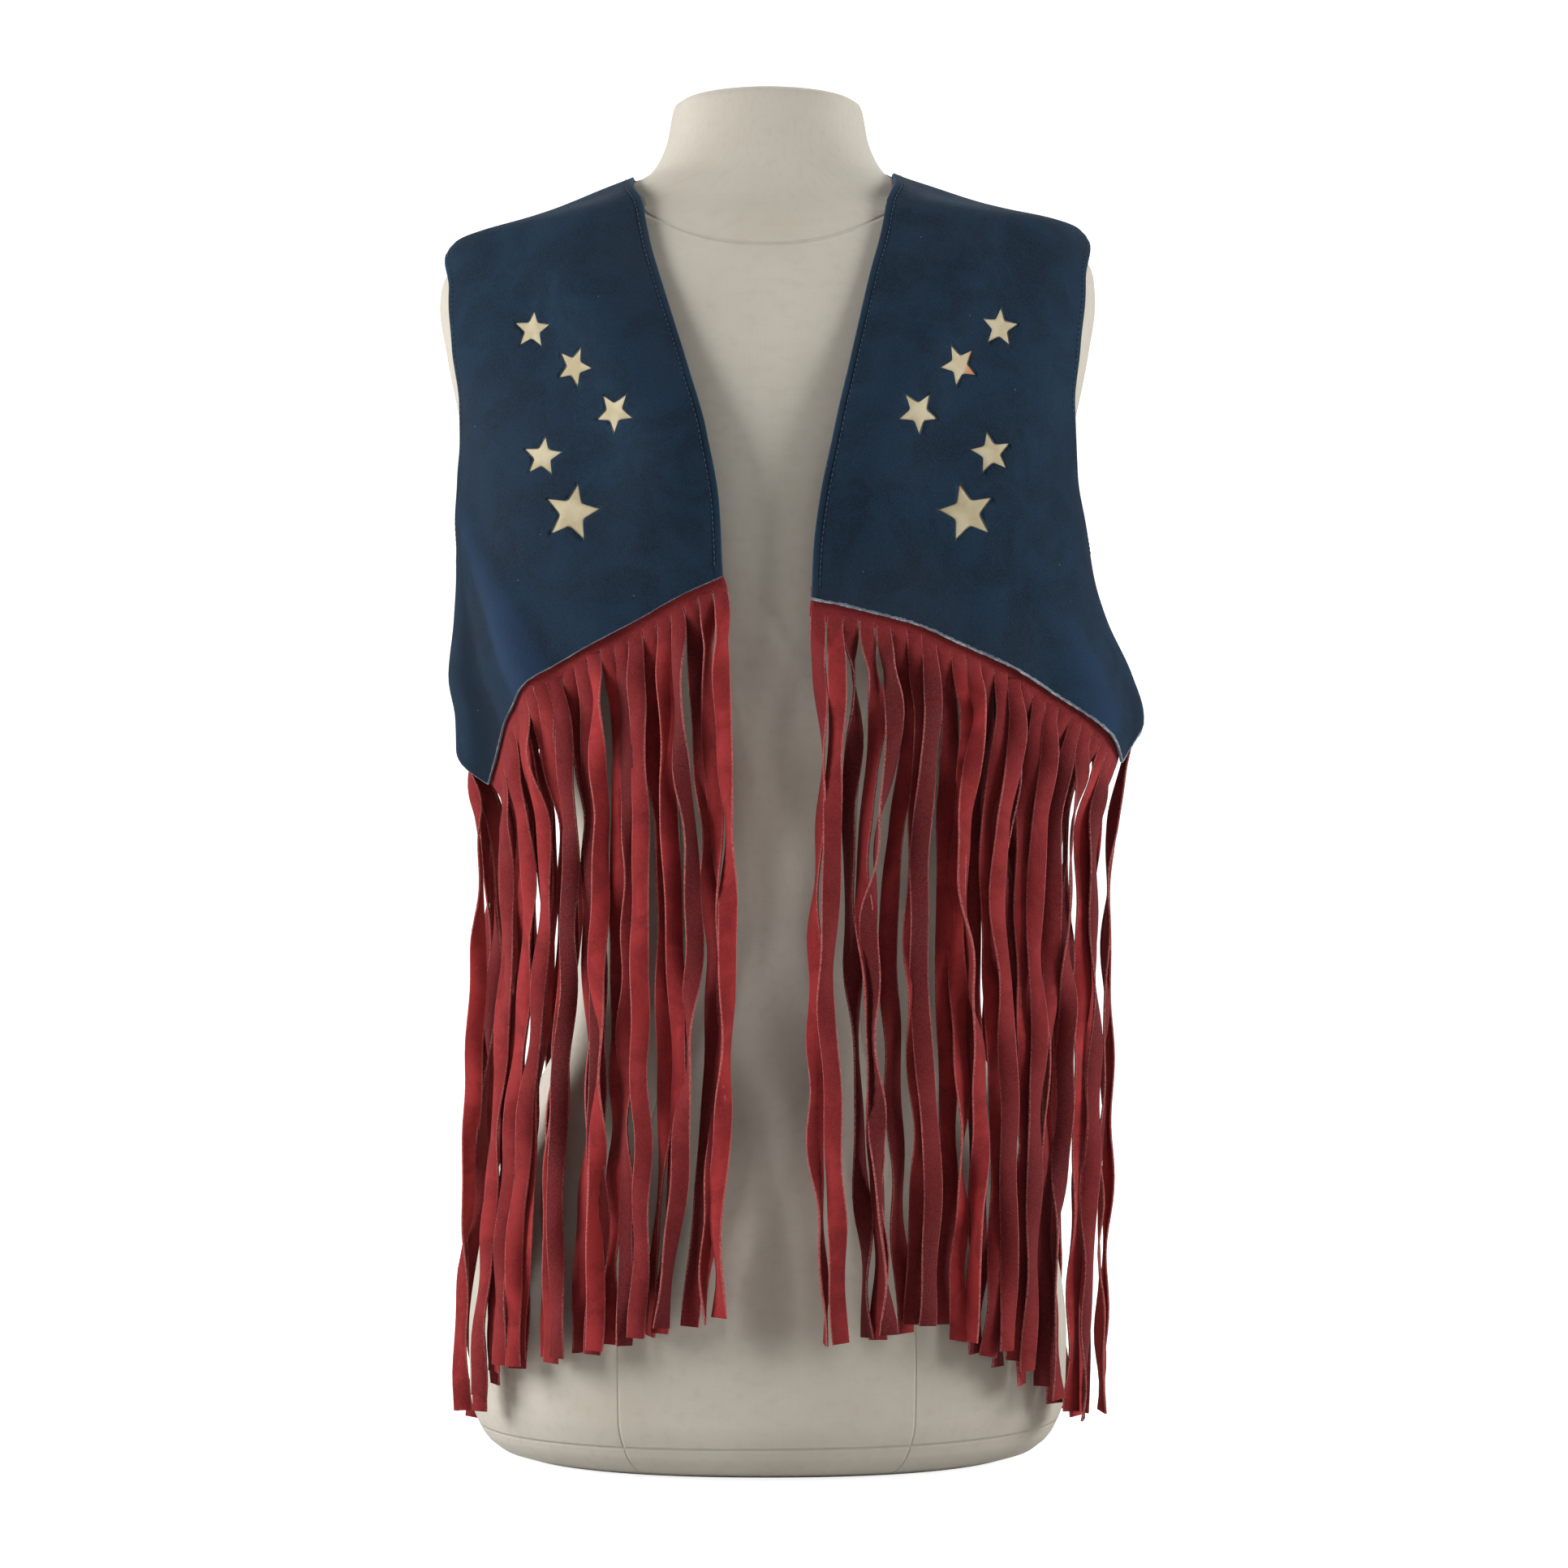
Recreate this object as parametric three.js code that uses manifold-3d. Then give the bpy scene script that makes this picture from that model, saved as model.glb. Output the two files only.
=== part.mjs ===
// A fringed suede vest on a limbless dress form, in millimetres.
// +Z is up, the front faces -Y, +X is the wearer's left, and the origin is the middle of the form's base.
import * as THREE from "three";
import { mergeVertices } from "three/addons/utils/BufferGeometryUtils.js";
import Module from "manifold-3d";

const wasm = await Module();
wasm.setup();

const SEAT_GAP = 1.5; // out from the form's true surface, less where the facets cut across its curves
const SUEDE = 1.8; // thickness of the blue suede
const PIECE_GAP = 0.3; // between pieces at a seam
const STRIP_GAP = 1; // between a front's or the back's inner face and the fringe strip behind it
const STRIP_THICKNESS = 1.2; // of the red suede
const STRIP_UNDER_HEM = 7; // how far the fringe strip reaches up behind the hem
const STRIP_SHOWING = 11; // how far it shows below the hem before the cuts start
const STRAND_WIDTH = 8;
const CUT_WIDTH = 0.7; // between two strands at their roots
const STAR_THICKNESS = 1.1;
const STAR_SUNK = 0.4; // the star's face below the face of the suede
const STAR_NOTCH = 0.44; // inner radius as a share of the outer one
const STAR_CUTTER = { inside: -2, outside: 8 }; // reaches past both faces of a front
const FORM_COLUMNS = 32;
const SEAM_STEPS = 6; // rows of a panel's wall along the side seam
const ARMHOLE_STEPS = 20; // and along the armhole

// Sections of the form. side, front and back are half sizes; power 2 is an ellipse and more is squarer.
const FORM_SECTIONS = [
  { z: 0, side: 146, front: 78, back: 84, power: 2.2 },
  { z: 4, side: 158, front: 88, back: 94, power: 2.2 },
  { z: 14, side: 168, front: 97, back: 104, power: 2.25 },
  { z: 34, side: 175, front: 103, back: 110, power: 2.3 },
  { z: 70, side: 176, front: 105, back: 112, power: 2.3 },
  { z: 120, side: 170, front: 104, back: 111, power: 2.3 },
  { z: 165, side: 159, front: 101, back: 108, power: 2.25 },
  { z: 205, side: 141, front: 95, back: 101, power: 2.2 },
  { z: 247, side: 121, front: 87, back: 91, power: 2.15 },
  { z: 285, side: 112, front: 81, back: 81, power: 2.1 },
  { z: 318, side: 109, front: 78, back: 76, power: 2.1 },
  { z: 350, side: 111, front: 78, back: 74, power: 2.1 },
  { z: 400, side: 118, front: 82, back: 75, power: 2.1 },
  { z: 450, side: 131, front: 90, back: 79, power: 2.15 },
  { z: 500, side: 147, front: 102, back: 87, power: 2.2 },
  { z: 540, side: 161, front: 112, back: 94, power: 2.25 },
  { z: 575, side: 173, front: 118, back: 100, power: 2.3 },
  { z: 610, side: 182, front: 115, back: 105, power: 2.35 },
  { z: 645, side: 189, front: 106, back: 108, power: 2.4 },
  { z: 675, side: 193, front: 96, back: 106, power: 2.4 },
  { z: 690, side: 192, front: 89, back: 102, power: 2.35 },
  { z: 702, side: 187, front: 84, back: 97, power: 2.25 },
  { z: 715, side: 180, front: 78, back: 90, power: 2.15 },
  { z: 718.5, side: 171, front: 75.5, back: 87, power: 2.1 },
  { z: 722, side: 154, front: 73, back: 83.5, power: 2.05 },
  { z: 728, side: 129, front: 69.5, back: 79, power: 2 },
  { z: 737, side: 103, front: 66, back: 73.5, power: 2 },
  { z: 743.5, side: 83, front: 63, back: 69, power: 2 },
  { z: 749.5, side: 71, front: 61, back: 64.5, power: 2 },
  { z: 760, side: 63.5, front: 58, back: 58, power: 2 },
  { z: 772, side: 59, front: 56, back: 54, power: 2 },
  { z: 786, side: 56.5, front: 54.5, back: 52, power: 2 },
  { z: 791, side: 55, front: 53, back: 50.5, power: 2 },
  { z: 793, side: 52, front: 50, back: 47.5, power: 2 },
];

const SEATED_FROM = 600; // above this height the vest lies on the form
const SEATED_TO = 750;

// Round the shoulders the suede stands off a little between these heights.
const BRIDGE = { from: 700, to: 730, side: 3, back: 4 };

// The wearer's right shoulder is lower than the left: most at its tip, fading towards the neck and the chest.
const RIGHT_DROP = { most: 7.4, from: -60, to: -185, bottom: 640, top: 705 };

// Sections of the hanging cloth and of the fringe below it, and of the neck edge that stands off the form.
const HANGING_SECTIONS = [
  { z: 0, right: 187, left: 201, front: 121, back: 127, power: 2.25 },
  { z: 60, right: 187, left: 201, front: 121, back: 127, power: 2.25 },
  { z: 120, right: 183, left: 201, front: 120, back: 126, power: 2.25 },
  { z: 200, right: 177, left: 202, front: 117, back: 120, power: 2.25 },
  { z: 300, right: 172, left: 203, front: 114, back: 114, power: 2.2 },
  { z: 370, right: 174, left: 207, front: 112, back: 111, power: 2.2 },
  { z: 400, right: 180, left: 214, front: 112, back: 110, power: 2.2 },
  { z: 431, right: 181, left: 219, front: 112, back: 110, power: 2.2 },
  { z: 455, right: 185, left: 212, front: 113, back: 110, power: 2.2 },
  { z: 487, right: 182, left: 197, front: 115, back: 109, power: 2.2 },
  { z: 513, right: 181, left: 189, front: 116, back: 108, power: 2.25 },
  { z: 543, right: 182, left: 184.5, front: 117.5, back: 107, power: 2.3 },
  { z: 570, right: 180.5, left: 181, front: 118.5, back: 105.5, power: 2.3 },
];
const NECK_SECTIONS = [
  { z: 757, right: 69, left: 69, front: 60, back: 66, power: 2 },
  { z: 768, right: 68, left: 68, front: 57, back: 65, power: 2 },
  { z: 780, right: 68, left: 68, front: 57, back: 65, power: 2 },
];

// Edges of the fronts as seen from the front: x and height, from the hem up to the neck.
const FRONT_EDGE_RIGHT = [
  { x: -24, z: 507 },
  { x: -26, z: 546 },
  { x: -33, z: 586 },
  { x: -43.5, z: 622 },
  { x: -56, z: 663 },
  { x: -64.5, z: 692 },
  { x: -68, z: 709 },
  { x: -70.5, z: 723 },
  { x: -73, z: 731 },
  { x: -75, z: 737 },
  { x: -76.8, z: 742 },
  { x: -77.6, z: 744.5 },
  { x: -78, z: 746 },
];
const FRONT_EDGE_LEFT = [
  { x: 24.5, z: 494 },
  { x: 25.5, z: 519 },
  { x: 29, z: 548 },
  { x: 38, z: 592 },
  { x: 46, z: 625 },
  { x: 58, z: 678 },
  { x: 63, z: 697 },
  { x: 65.5, z: 709 },
  { x: 68, z: 725 },
  { x: 70, z: 735 },
  { x: 71.5, z: 743 },
  { x: 72.3, z: 746.5 },
  { x: 71.5, z: 749 },
];

// Hems of the fronts, from the front edge to the lowest tip at the side.
const HEM_RIGHT = [
  { x: -24, z: 507 },
  { x: -48, z: 496 },
  { x: -71, z: 483 },
  { x: -96, z: 470 },
  { x: -116, z: 459 },
  { x: -131, z: 447 },
  { x: -145, z: 431 },
  { x: -156, z: 413 },
  { x: -164, z: 392 },
];
const HEM_LEFT = [
  { x: 24.5, z: 494 },
  { x: 41, z: 491 },
  { x: 61, z: 486 },
  { x: 81, z: 481 },
  { x: 107, z: 470 },
  { x: 138, z: 456 },
  { x: 164, z: 440 },
  { x: 186, z: 425 },
  { x: 203, z: 405 },
];
const SIDE_SEAM_FOOT = { right: 416, left: 432 };
const BACK_HEM = [
  { share: 0, z: 432 },
  { share: 0.12, z: 427 },
  { share: 0.5, z: 423 },
  { share: 0.88, z: 421 },
  { share: 1, z: 416 },
];
const BACK_NECK = [
  { share: 0, z: 749 },
  { share: 0.1, z: 757 },
  { share: 0.25, z: 762 },
  { share: 0.5, z: 763 },
  { share: 0.75, z: 761 },
  { share: 0.9, z: 755 },
  { share: 1, z: 746 },
];

// Armhole edges: height, and degrees that the edge lies in from the side, on the front and on the back.
const UNDERARM = 520;
const SHOULDER_TIP = 714.5;
const NECK_POINT = { right: 746, left: 749 };
const ARMHOLE = [
  { z: 524, front: 3, back: 3 },
  { z: 536, front: 7, back: 7 },
  { z: 560, front: 11, back: 12 },
  { z: 590, front: 15, back: 16 },
  { z: 625, front: 19, back: 18 },
  { z: 660, front: 22, back: 19 },
  { z: 685, front: 21, back: 17 },
  { z: 702, front: 13, back: 11 },
];

// Soft folds: where each starts and ends (degrees from the front, height), its half width and its height.
const FOLDS = [
  { top: -54, bottom: -43, high: 530, low: 440, half: 6, rise: 3.2 },
  { top: -72, bottom: -66, high: 520, low: 395, half: 9, rise: -4.5 },
  { top: 52, bottom: 56, high: 530, low: 430, half: 9, rise: 3 },
  { top: 72, bottom: 76, high: 510, low: 420, half: 8, rise: -3 },
  { top: 118, bottom: 122, high: 560, low: 425, half: 9, rise: 3 },
  { top: 165, bottom: 158, high: 600, low: 425, half: 8, rise: -2.5 },
  { top: 202, bottom: 206, high: 540, low: 425, half: 10, rise: 3 },
  { top: 238, bottom: 242, high: 520, low: 420, half: 8, rise: -3 },
];

// Stars as seen from the front: centre, radius to the points, and degrees turned clockwise.
const STARS_RIGHT = [
  { x: -130, z: 647, radius: 11.8, turn: 7 },
  { x: -104, z: 624, radius: 11.8, turn: 27 },
  { x: -80, z: 597, radius: 11.8, turn: 39 },
  { x: -124, z: 575, radius: 11.8, turn: 8 },
  { x: -107, z: 543, radius: 16.8, turn: 12 },
];
const STARS_LEFT = [
  { x: 129, z: 648, radius: 11.8, turn: 3 },
  { x: 104, z: 625, radius: 12.3, turn: -30 },
  { x: 80, z: 597, radius: 12.3, turn: -41 },
  { x: 124, z: 577, radius: 12.3, turn: -12 },
  { x: 110, z: 543, radius: 17, turn: -14 },
];

// Fringes: how many strands, and how high above the floor they end, by share of the hem from its right end.
const STRANDS = { right: 23, left: 24, back: 52 };
const ENDS_RIGHT = [
  { share: 0, z: 36 },
  { share: 0.2, z: 62 },
  { share: 0.5, z: 74 },
  { share: 0.75, z: 86 },
  { share: 1, z: 101 },
];
const ENDS_LEFT = [
  { share: 0, z: 84 },
  { share: 0.25, z: 91 },
  { share: 0.5, z: 76 },
  { share: 0.75, z: 56 },
  { share: 1, z: 24 },
];
const ENDS_BACK = [
  { share: 0, z: 14 },
  { share: 0.5, z: 20 },
  { share: 1, z: 14 },
];
const BACK_FRINGE_FROM_SEAM = 13; // how far behind each side seam the back fringe starts
const LAYERS = [0, 4.6, -5.2]; // how far neighbouring strands hang out from the hem's line
const STRAND_STEPS = [0.03, 0.1, 0.24, 0.42, 0.6, 0.8, 1]; // sections, by share of the way down
const FULL_WIDTH_FROM = 0.14; // above this share a strand is as narrow as its room between its neighbours
const IN_LAYER_FROM = 0.14; // from this share it hangs in its own layer
const SWAY = 5;
const END_VARIATION = 9; // between the lengths of neighbouring strands
const STRAND_CORNERS = [
  [-1, 1],
  [1, 1],
  [1, -1],
  [-1, -1],
];
const TWIST = 20; // degrees

// Value of one column at a height, on a smooth line through the rows that never overshoots them.
function at(rows, key, place, column = "z") {
  const last = rows.length - 1;
  if (place <= rows[0][column]) return rows[0][key];
  if (place >= rows[last][column]) return rows[last][key];
  let i = 0;
  while (rows[i + 1][column] < place) i += 1;
  const slope = (a) => (rows[a + 1][key] - rows[a][key]) / (rows[a + 1][column] - rows[a][column]);
  const tangent = (a) => {
    if (a === 0) return slope(0);
    if (a === last) return slope(last - 1);
    const before = slope(a - 1);
    const after = slope(a);
    return before * after > 0 ? (2 * before * after) / (before + after) : 0;
  };
  const step = rows[i + 1][column] - rows[i][column];
  const t = (place - rows[i][column]) / step;
  const fromLow = rows[i][key] * (1 + 2 * t) * (1 - t) ** 2 + tangent(i) * step * t * (1 - t) ** 2;
  const fromHigh = rows[i + 1][key] * t * t * (3 - 2 * t) - tangent(i + 1) * step * t * t * (1 - t);
  return fromLow + fromHigh;
}

const CLOTH_SECTIONS = [
  ...HANGING_SECTIONS,
  ...FORM_SECTIONS.filter((row) => row.z >= SEATED_FROM && row.z <= SEATED_TO).map((row) => {
    const bridged = row.z > BRIDGE.from && row.z < BRIDGE.to ? 1 : 0;
    const side = row.side + bridged * BRIDGE.side;
    return { ...row, right: side, left: side, back: row.back + bridged * BRIDGE.back };
  }),
  ...NECK_SECTIONS,
];

const signedPower = (value, power) => Math.sign(value) * Math.abs(value) ** power;
const radians = THREE.MathUtils.degToRad;
const smooth = (t) => THREE.MathUtils.smoothstep(t, 0, 1);

// A point of a section: the angle is 0 at the front and grows towards +X.
function sectionPoint(size, angle, z) {
  const depth = Math.cos(angle) > 0 ? size.front : size.back;
  const side = Math.sin(angle) > 0 ? size.left : size.right;
  const x = side * signedPower(Math.sin(angle), 2 / size.power);
  const y = -depth * signedPower(Math.cos(angle), 2 / size.power);
  const outward = smooth((x - RIGHT_DROP.from) / (RIGHT_DROP.to - RIGHT_DROP.from));
  const upward = smooth((z - RIGHT_DROP.bottom) / (RIGHT_DROP.top - RIGHT_DROP.bottom));
  return new THREE.Vector3(x, y, z - RIGHT_DROP.most * outward * upward);
}

function clothSize(z) {
  return {
    right: at(CLOTH_SECTIONS, "right", z),
    left: at(CLOTH_SECTIONS, "left", z),
    front: at(CLOTH_SECTIONS, "front", z),
    back: at(CLOTH_SECTIONS, "back", z),
    power: at(CLOTH_SECTIONS, "power", z),
  };
}

function foldRise(angle, z) {
  const degrees = THREE.MathUtils.euclideanModulo(THREE.MathUtils.radToDeg(angle) + 110, 360) - 110;
  let rise = 0;
  for (const fold of FOLDS) {
    const down = THREE.MathUtils.clamp((fold.high - z) / (fold.high - fold.low), 0, 1);
    const middle = fold.top + (fold.bottom - fold.top) * down;
    const below = smooth(THREE.MathUtils.clamp((fold.low - z) / 90, 0, 1));
    rise += fold.rise * smooth(down) * (1 - below) * Math.exp(-(((degrees - middle) / fold.half) ** 2));
  }
  return rise;
}

// The cloth's line: the section, with the folds pushed out along the section's own outward direction.
function drapePoint(angle, z) {
  const size = clothSize(z);
  const point = sectionPoint(size, angle, z);
  const depth = point.y < 0 ? size.front : size.back;
  const side = point.x > 0 ? size.left : size.right;
  const out = new THREE.Vector3(
    signedPower(point.x / side, size.power - 1) / side,
    signedPower(point.y / depth, size.power - 1) / depth,
    0,
  ).normalize();
  return point.addScaledVector(out, foldRise(angle, z));
}

function drapeNormal(angle, z) {
  const around = drapePoint(angle + 0.01, z).sub(drapePoint(angle - 0.01, z));
  const up = drapePoint(angle, z + 0.8).sub(drapePoint(angle, z - 0.8));
  return around.cross(up).normalize();
}

const clothPoint = (place, out) =>
  drapePoint(place.angle, place.z).addScaledVector(drapeNormal(place.angle, place.z), out);

// The angle where the cloth's section has a given x, on the front half.
function angleAtX(x, z) {
  const size = clothSize(z);
  const share = Math.min(1, Math.abs(x) / (x > 0 ? size.left : size.right));
  return Math.sign(x) * Math.asin(share ** (size.power / 2));
}

// The angle beside the side line (90 degrees) that leaves half the gap between two pieces.
function seamAngle(z, towardsBack) {
  const size = clothSize(z);
  const depth = towardsBack ? size.back : size.front;
  const off = Math.asin((PIECE_GAP / 2 / depth) ** (size.power / 2));
  return Math.PI / 2 + (towardsBack ? off : -off);
}

// Places (angle and height) evenly spaced along a smooth line through others.
function spaced(places, steps) {
  const reach = 150;
  const curve = new THREE.CatmullRomCurve3(
    places.map((place) => new THREE.Vector3(place.angle * reach, place.z, 0)),
    false,
    "centripetal",
  );
  curve.arcLengthDivisions = 400;
  return curve.getSpacedPoints(steps).map((p) => ({ angle: p.x / reach, z: p.y }));
}

const joined = (...runs) => runs.flatMap((run, i) => (i ? run.slice(1) : run));

// A grid of places between four edges: foot and head run along, start and end run up.
function gridBetween(foot, head, start, end) {
  const across = foot.length - 1;
  const upward = start.length - 1;
  const blend = (key, i, j) => {
    const u = i / across;
    const v = j / upward;
    const edges = (1 - v) * foot[i][key] + v * head[i][key] + (1 - u) * start[j][key] + u * end[j][key];
    const low = (1 - u) * foot[0][key] + u * foot[across][key];
    const high = (1 - u) * head[0][key] + u * head[across][key];
    return edges - (1 - v) * low - v * high;
  };
  return foot.map((_, i) => start.map((__, j) => ({ angle: blend("angle", i, j), z: blend("z", i, j) })));
}

function meshFrom(points, faces) {
  const geometry = new THREE.BufferGeometry();
  geometry.setAttribute("position", new THREE.Float32BufferAttribute(points.flatMap((p) => p.toArray()), 3));
  geometry.setIndex(faces.flat());
  return geometry;
}

// Two triangles for the four-sided face a, b, c, d, seen counterclockwise.
const quad = (a, b, c, d) => [
  [a, b, c],
  [a, c, d],
];

const turned = (faces) => faces.map(([a, b, c]) => [a, c, b]);

// True where a cell's first diagonal (0 to 2) lies further out than its second (1 to 3).
function firstDiagonalOutside([a, b, c, d], mirrored) {
  const between = a.clone().add(c).sub(b).sub(d);
  const normal = c.clone().sub(a).cross(d.clone().sub(b));
  return between.dot(normal) * (mirrored ? -1 : 1) > 0;
}

// A wall over a grid of places, between two distances out from the cloth's line.
function wallOver(grid, inside, outside, mirrored) {
  const across = grid.length;
  const upward = grid[0].length;
  const points = [];
  for (const out of [inside, outside]) {
    for (const column of grid) {
      for (const place of column) points.push(clothPoint(place, out));
    }
  }
  const index = (layer, i, j) => layer * across * upward + i * upward + j;
  const faces = [];
  for (let i = 0; i < across - 1; i += 1) {
    for (let j = 0; j < upward - 1; j += 1) {
      const corners = [
        [i, j],
        [i + 1, j],
        [i + 1, j + 1],
        [i, j + 1],
      ];
      const onFace = corners.map(([x, y]) => points[index(0, x, y)]);
      if (!firstDiagonalOutside(onFace, mirrored)) corners.push(corners.shift());
      faces.push(...quad(...corners.map(([x, y]) => index(1, x, y))));
      faces.push(...turned(quad(...corners.map(([x, y]) => index(0, x, y)))));
    }
  }
  const rim = [];
  for (let i = 0; i < across - 1; i += 1) rim.push([i, 0]);
  for (let j = 0; j < upward - 1; j += 1) rim.push([across - 1, j]);
  for (let i = across - 1; i > 0; i -= 1) rim.push([i, upward - 1]);
  for (let j = upward - 1; j > 0; j -= 1) rim.push([0, j]);
  rim.forEach(([i, j], k) => {
    const [nextI, nextJ] = rim[(k + 1) % rim.length];
    faces.push(...quad(index(0, i, j), index(0, nextI, nextJ), index(1, nextI, nextJ), index(1, i, j)));
  });
  return meshFrom(points, mirrored ? turned(faces) : faces);
}

function solidOf(geometry) {
  const merged = mergeVertices(geometry, 1e-4);
  return new wasm.Manifold(
    new wasm.Mesh({
      numProp: 3,
      vertProperties: merged.attributes.position.array,
      triVerts: new Uint32Array(merged.index.array),
    }),
  );
}

function geometryOf(solid) {
  const mesh = solid.getMesh();
  const geometry = new THREE.BufferGeometry();
  geometry.setAttribute("position", new THREE.Float32BufferAttribute(mesh.vertProperties, 3));
  geometry.setIndex([...mesh.triVerts]);
  return geometry;
}

// The star's outline as seen from the front, made smaller all round by an inset.
function starOutline(star, inset) {
  const inner = star.radius * STAR_NOTCH;
  const edge = Math.hypot(star.radius - inner * Math.cos(Math.PI / 5), inner * Math.sin(Math.PI / 5));
  const toEdge = (star.radius * inner * Math.sin(Math.PI / 5)) / edge;
  const scale = 1 - inset / toEdge;
  const places = [];
  for (let k = 0; k < 10; k += 1) {
    const reach = (k % 2 ? inner : star.radius) * scale;
    const turn = radians(star.turn) + (k * Math.PI) / 5;
    const x = star.x + reach * Math.sin(turn);
    const z = star.z + reach * Math.cos(turn);
    places.push({ angle: angleAtX(x, z), z });
  }
  return places;
}

function starSolid(star, inset, inside, outside) {
  const outline = starOutline(star, inset);
  const middle = { angle: angleAtX(star.x, star.z), z: star.z };
  const points = [inside, outside].flatMap((out) => [
    ...outline.map((place) => clothPoint(place, out)),
    clothPoint(middle, out),
  ]);
  const count = outline.length;
  const outer = count + 1;
  const faces = [];
  for (let k = 0; k < count; k += 1) {
    const next = (k + 1) % count;
    faces.push([outer + count, outer + next, outer + k], [count, k, next]);
    faces.push(...quad(k, outer + k, outer + next, next));
  }
  return meshFrom(points, faces);
}

// One front: hem and short return at the foot, shoulder seam at the head.
function frontPanel(side, frontEdge, hem, stars) {
  const footSteps = { hem: 11, sideReturn: 3 };
  const across = footSteps.hem + footSteps.sideReturn;
  const sign = side === "left" ? 1 : -1;
  const place = (row) => ({ angle: sign * Math.abs(angleAtX(row.x, row.z)), z: row.z });
  const atSeam = (z) => ({ angle: sign * seamAngle(z, false), z });
  const seamFoot = atSeam(SIDE_SEAM_FOOT[side]);
  const tip = place(hem[hem.length - 1]);
  const foot = joined(spaced(hem.map(place), footSteps.hem), spaced([tip, seamFoot], footSteps.sideReturn));
  const neckPoint = atSeam(NECK_POINT[side]);
  const start = spaced([...frontEdge.slice(0, -1).map(place), neckPoint], SEAM_STEPS + ARMHOLE_STEPS);
  const shoulder = [];
  for (let i = 0; i <= across; i += 1) {
    shoulder.push(atSeam(NECK_POINT[side] + ((SHOULDER_TIP - NECK_POINT[side]) * i) / across));
  }
  const armhole = ARMHOLE.map((row) => ({ angle: sign * (Math.PI / 2 - radians(row.front)), z: row.z }));
  const end = joined(
    spaced([seamFoot, atSeam(UNDERARM)], SEAM_STEPS),
    spaced([atSeam(UNDERARM), ...armhole, atSeam(SHOULDER_TIP)], ARMHOLE_STEPS),
  );
  const grid = gridBetween(foot, shoulder, start, end);
  let cut = solidOf(wallOver(grid, SEAT_GAP, SEAT_GAP + SUEDE, sign < 0));
  for (const star of stars) {
    cut = cut.subtract(solidOf(starSolid(star, 0, STAR_CUTTER.inside, STAR_CUTTER.outside)));
  }
  return geometryOf(cut);
}

// The back: level hem at the foot, and at the head a shoulder, the neck edge and the other shoulder.
function backPanel() {
  const across = 28;
  const leftSeam = (z) => ({ angle: seamAngle(z, true), z });
  const rightSeam = (z) => ({ angle: 2 * Math.PI - seamAngle(z, true), z });
  const between = (rows, share) => {
    const z = at(rows, "z", share, "share");
    const from = leftSeam(z).angle;
    return { angle: from + (rightSeam(z).angle - from) * share, z };
  };
  const shares = Array.from({ length: across + 1 }, (_, i) => i / across);
  const foot = shares.map((share) => between(BACK_HEM, share));
  const neckSteps = 12;
  const shoulderSteps = (across - neckSteps) / 2;
  const climb = (seam, neckPoint) =>
    Array.from({ length: shoulderSteps + 1 }, (_, i) =>
      seam(SHOULDER_TIP + ((neckPoint - SHOULDER_TIP) * i) / shoulderSteps),
    );
  const neck = Array.from({ length: neckSteps + 1 }, (_, i) => between(BACK_NECK, i / neckSteps));
  const head = joined(
    climb(leftSeam, NECK_POINT.left),
    neck,
    climb(rightSeam, NECK_POINT.right).reverse(),
  );
  const upTheSide = (seam, sign, base, seamFoot) =>
    joined(
      spaced([seam(seamFoot), seam(UNDERARM)], SEAM_STEPS),
      spaced(
        [
          seam(UNDERARM),
          ...ARMHOLE.map((row) => ({ angle: base + sign * radians(row.back), z: row.z })),
          seam(SHOULDER_TIP),
        ],
        ARMHOLE_STEPS,
      ),
    );
  const start = upTheSide(leftSeam, 1, Math.PI / 2, SIDE_SEAM_FOOT.left);
  const end = upTheSide(rightSeam, -1, 1.5 * Math.PI, SIDE_SEAM_FOOT.right);
  return wallOver(gridBetween(foot, head, start, end), SEAT_GAP, SEAT_GAP + SUEDE, false);
}

// A repeatable number from 0 to 1 for a strand and a purpose.
function chance(strand, purpose) {
  const value = Math.sin(strand * 12.9898 + purpose * 78.233) * 43758.5453;
  return value - Math.floor(value);
}

// Where a hem line lies, by share of its length.
function hemRuler(places) {
  const fine = spaced(places, 240);
  const points = fine.map((place) => drapePoint(place.angle, place.z));
  const lengths = [0];
  for (let i = 1; i < points.length; i += 1) {
    lengths.push(lengths[i - 1] + points[i].distanceTo(points[i - 1]));
  }
  const total = lengths[lengths.length - 1];
  const placeAt = (length) => {
    let i = 1;
    while (i < lengths.length - 1 && lengths[i] < length) i += 1;
    const t = (length - lengths[i - 1]) / (lengths[i] - lengths[i - 1]);
    return {
      angle: fine[i - 1].angle + (fine[i].angle - fine[i - 1].angle) * t,
      z: fine[i - 1].z + (fine[i].z - fine[i - 1].z) * t,
    };
  };
  return { total, placeAt };
}

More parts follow.
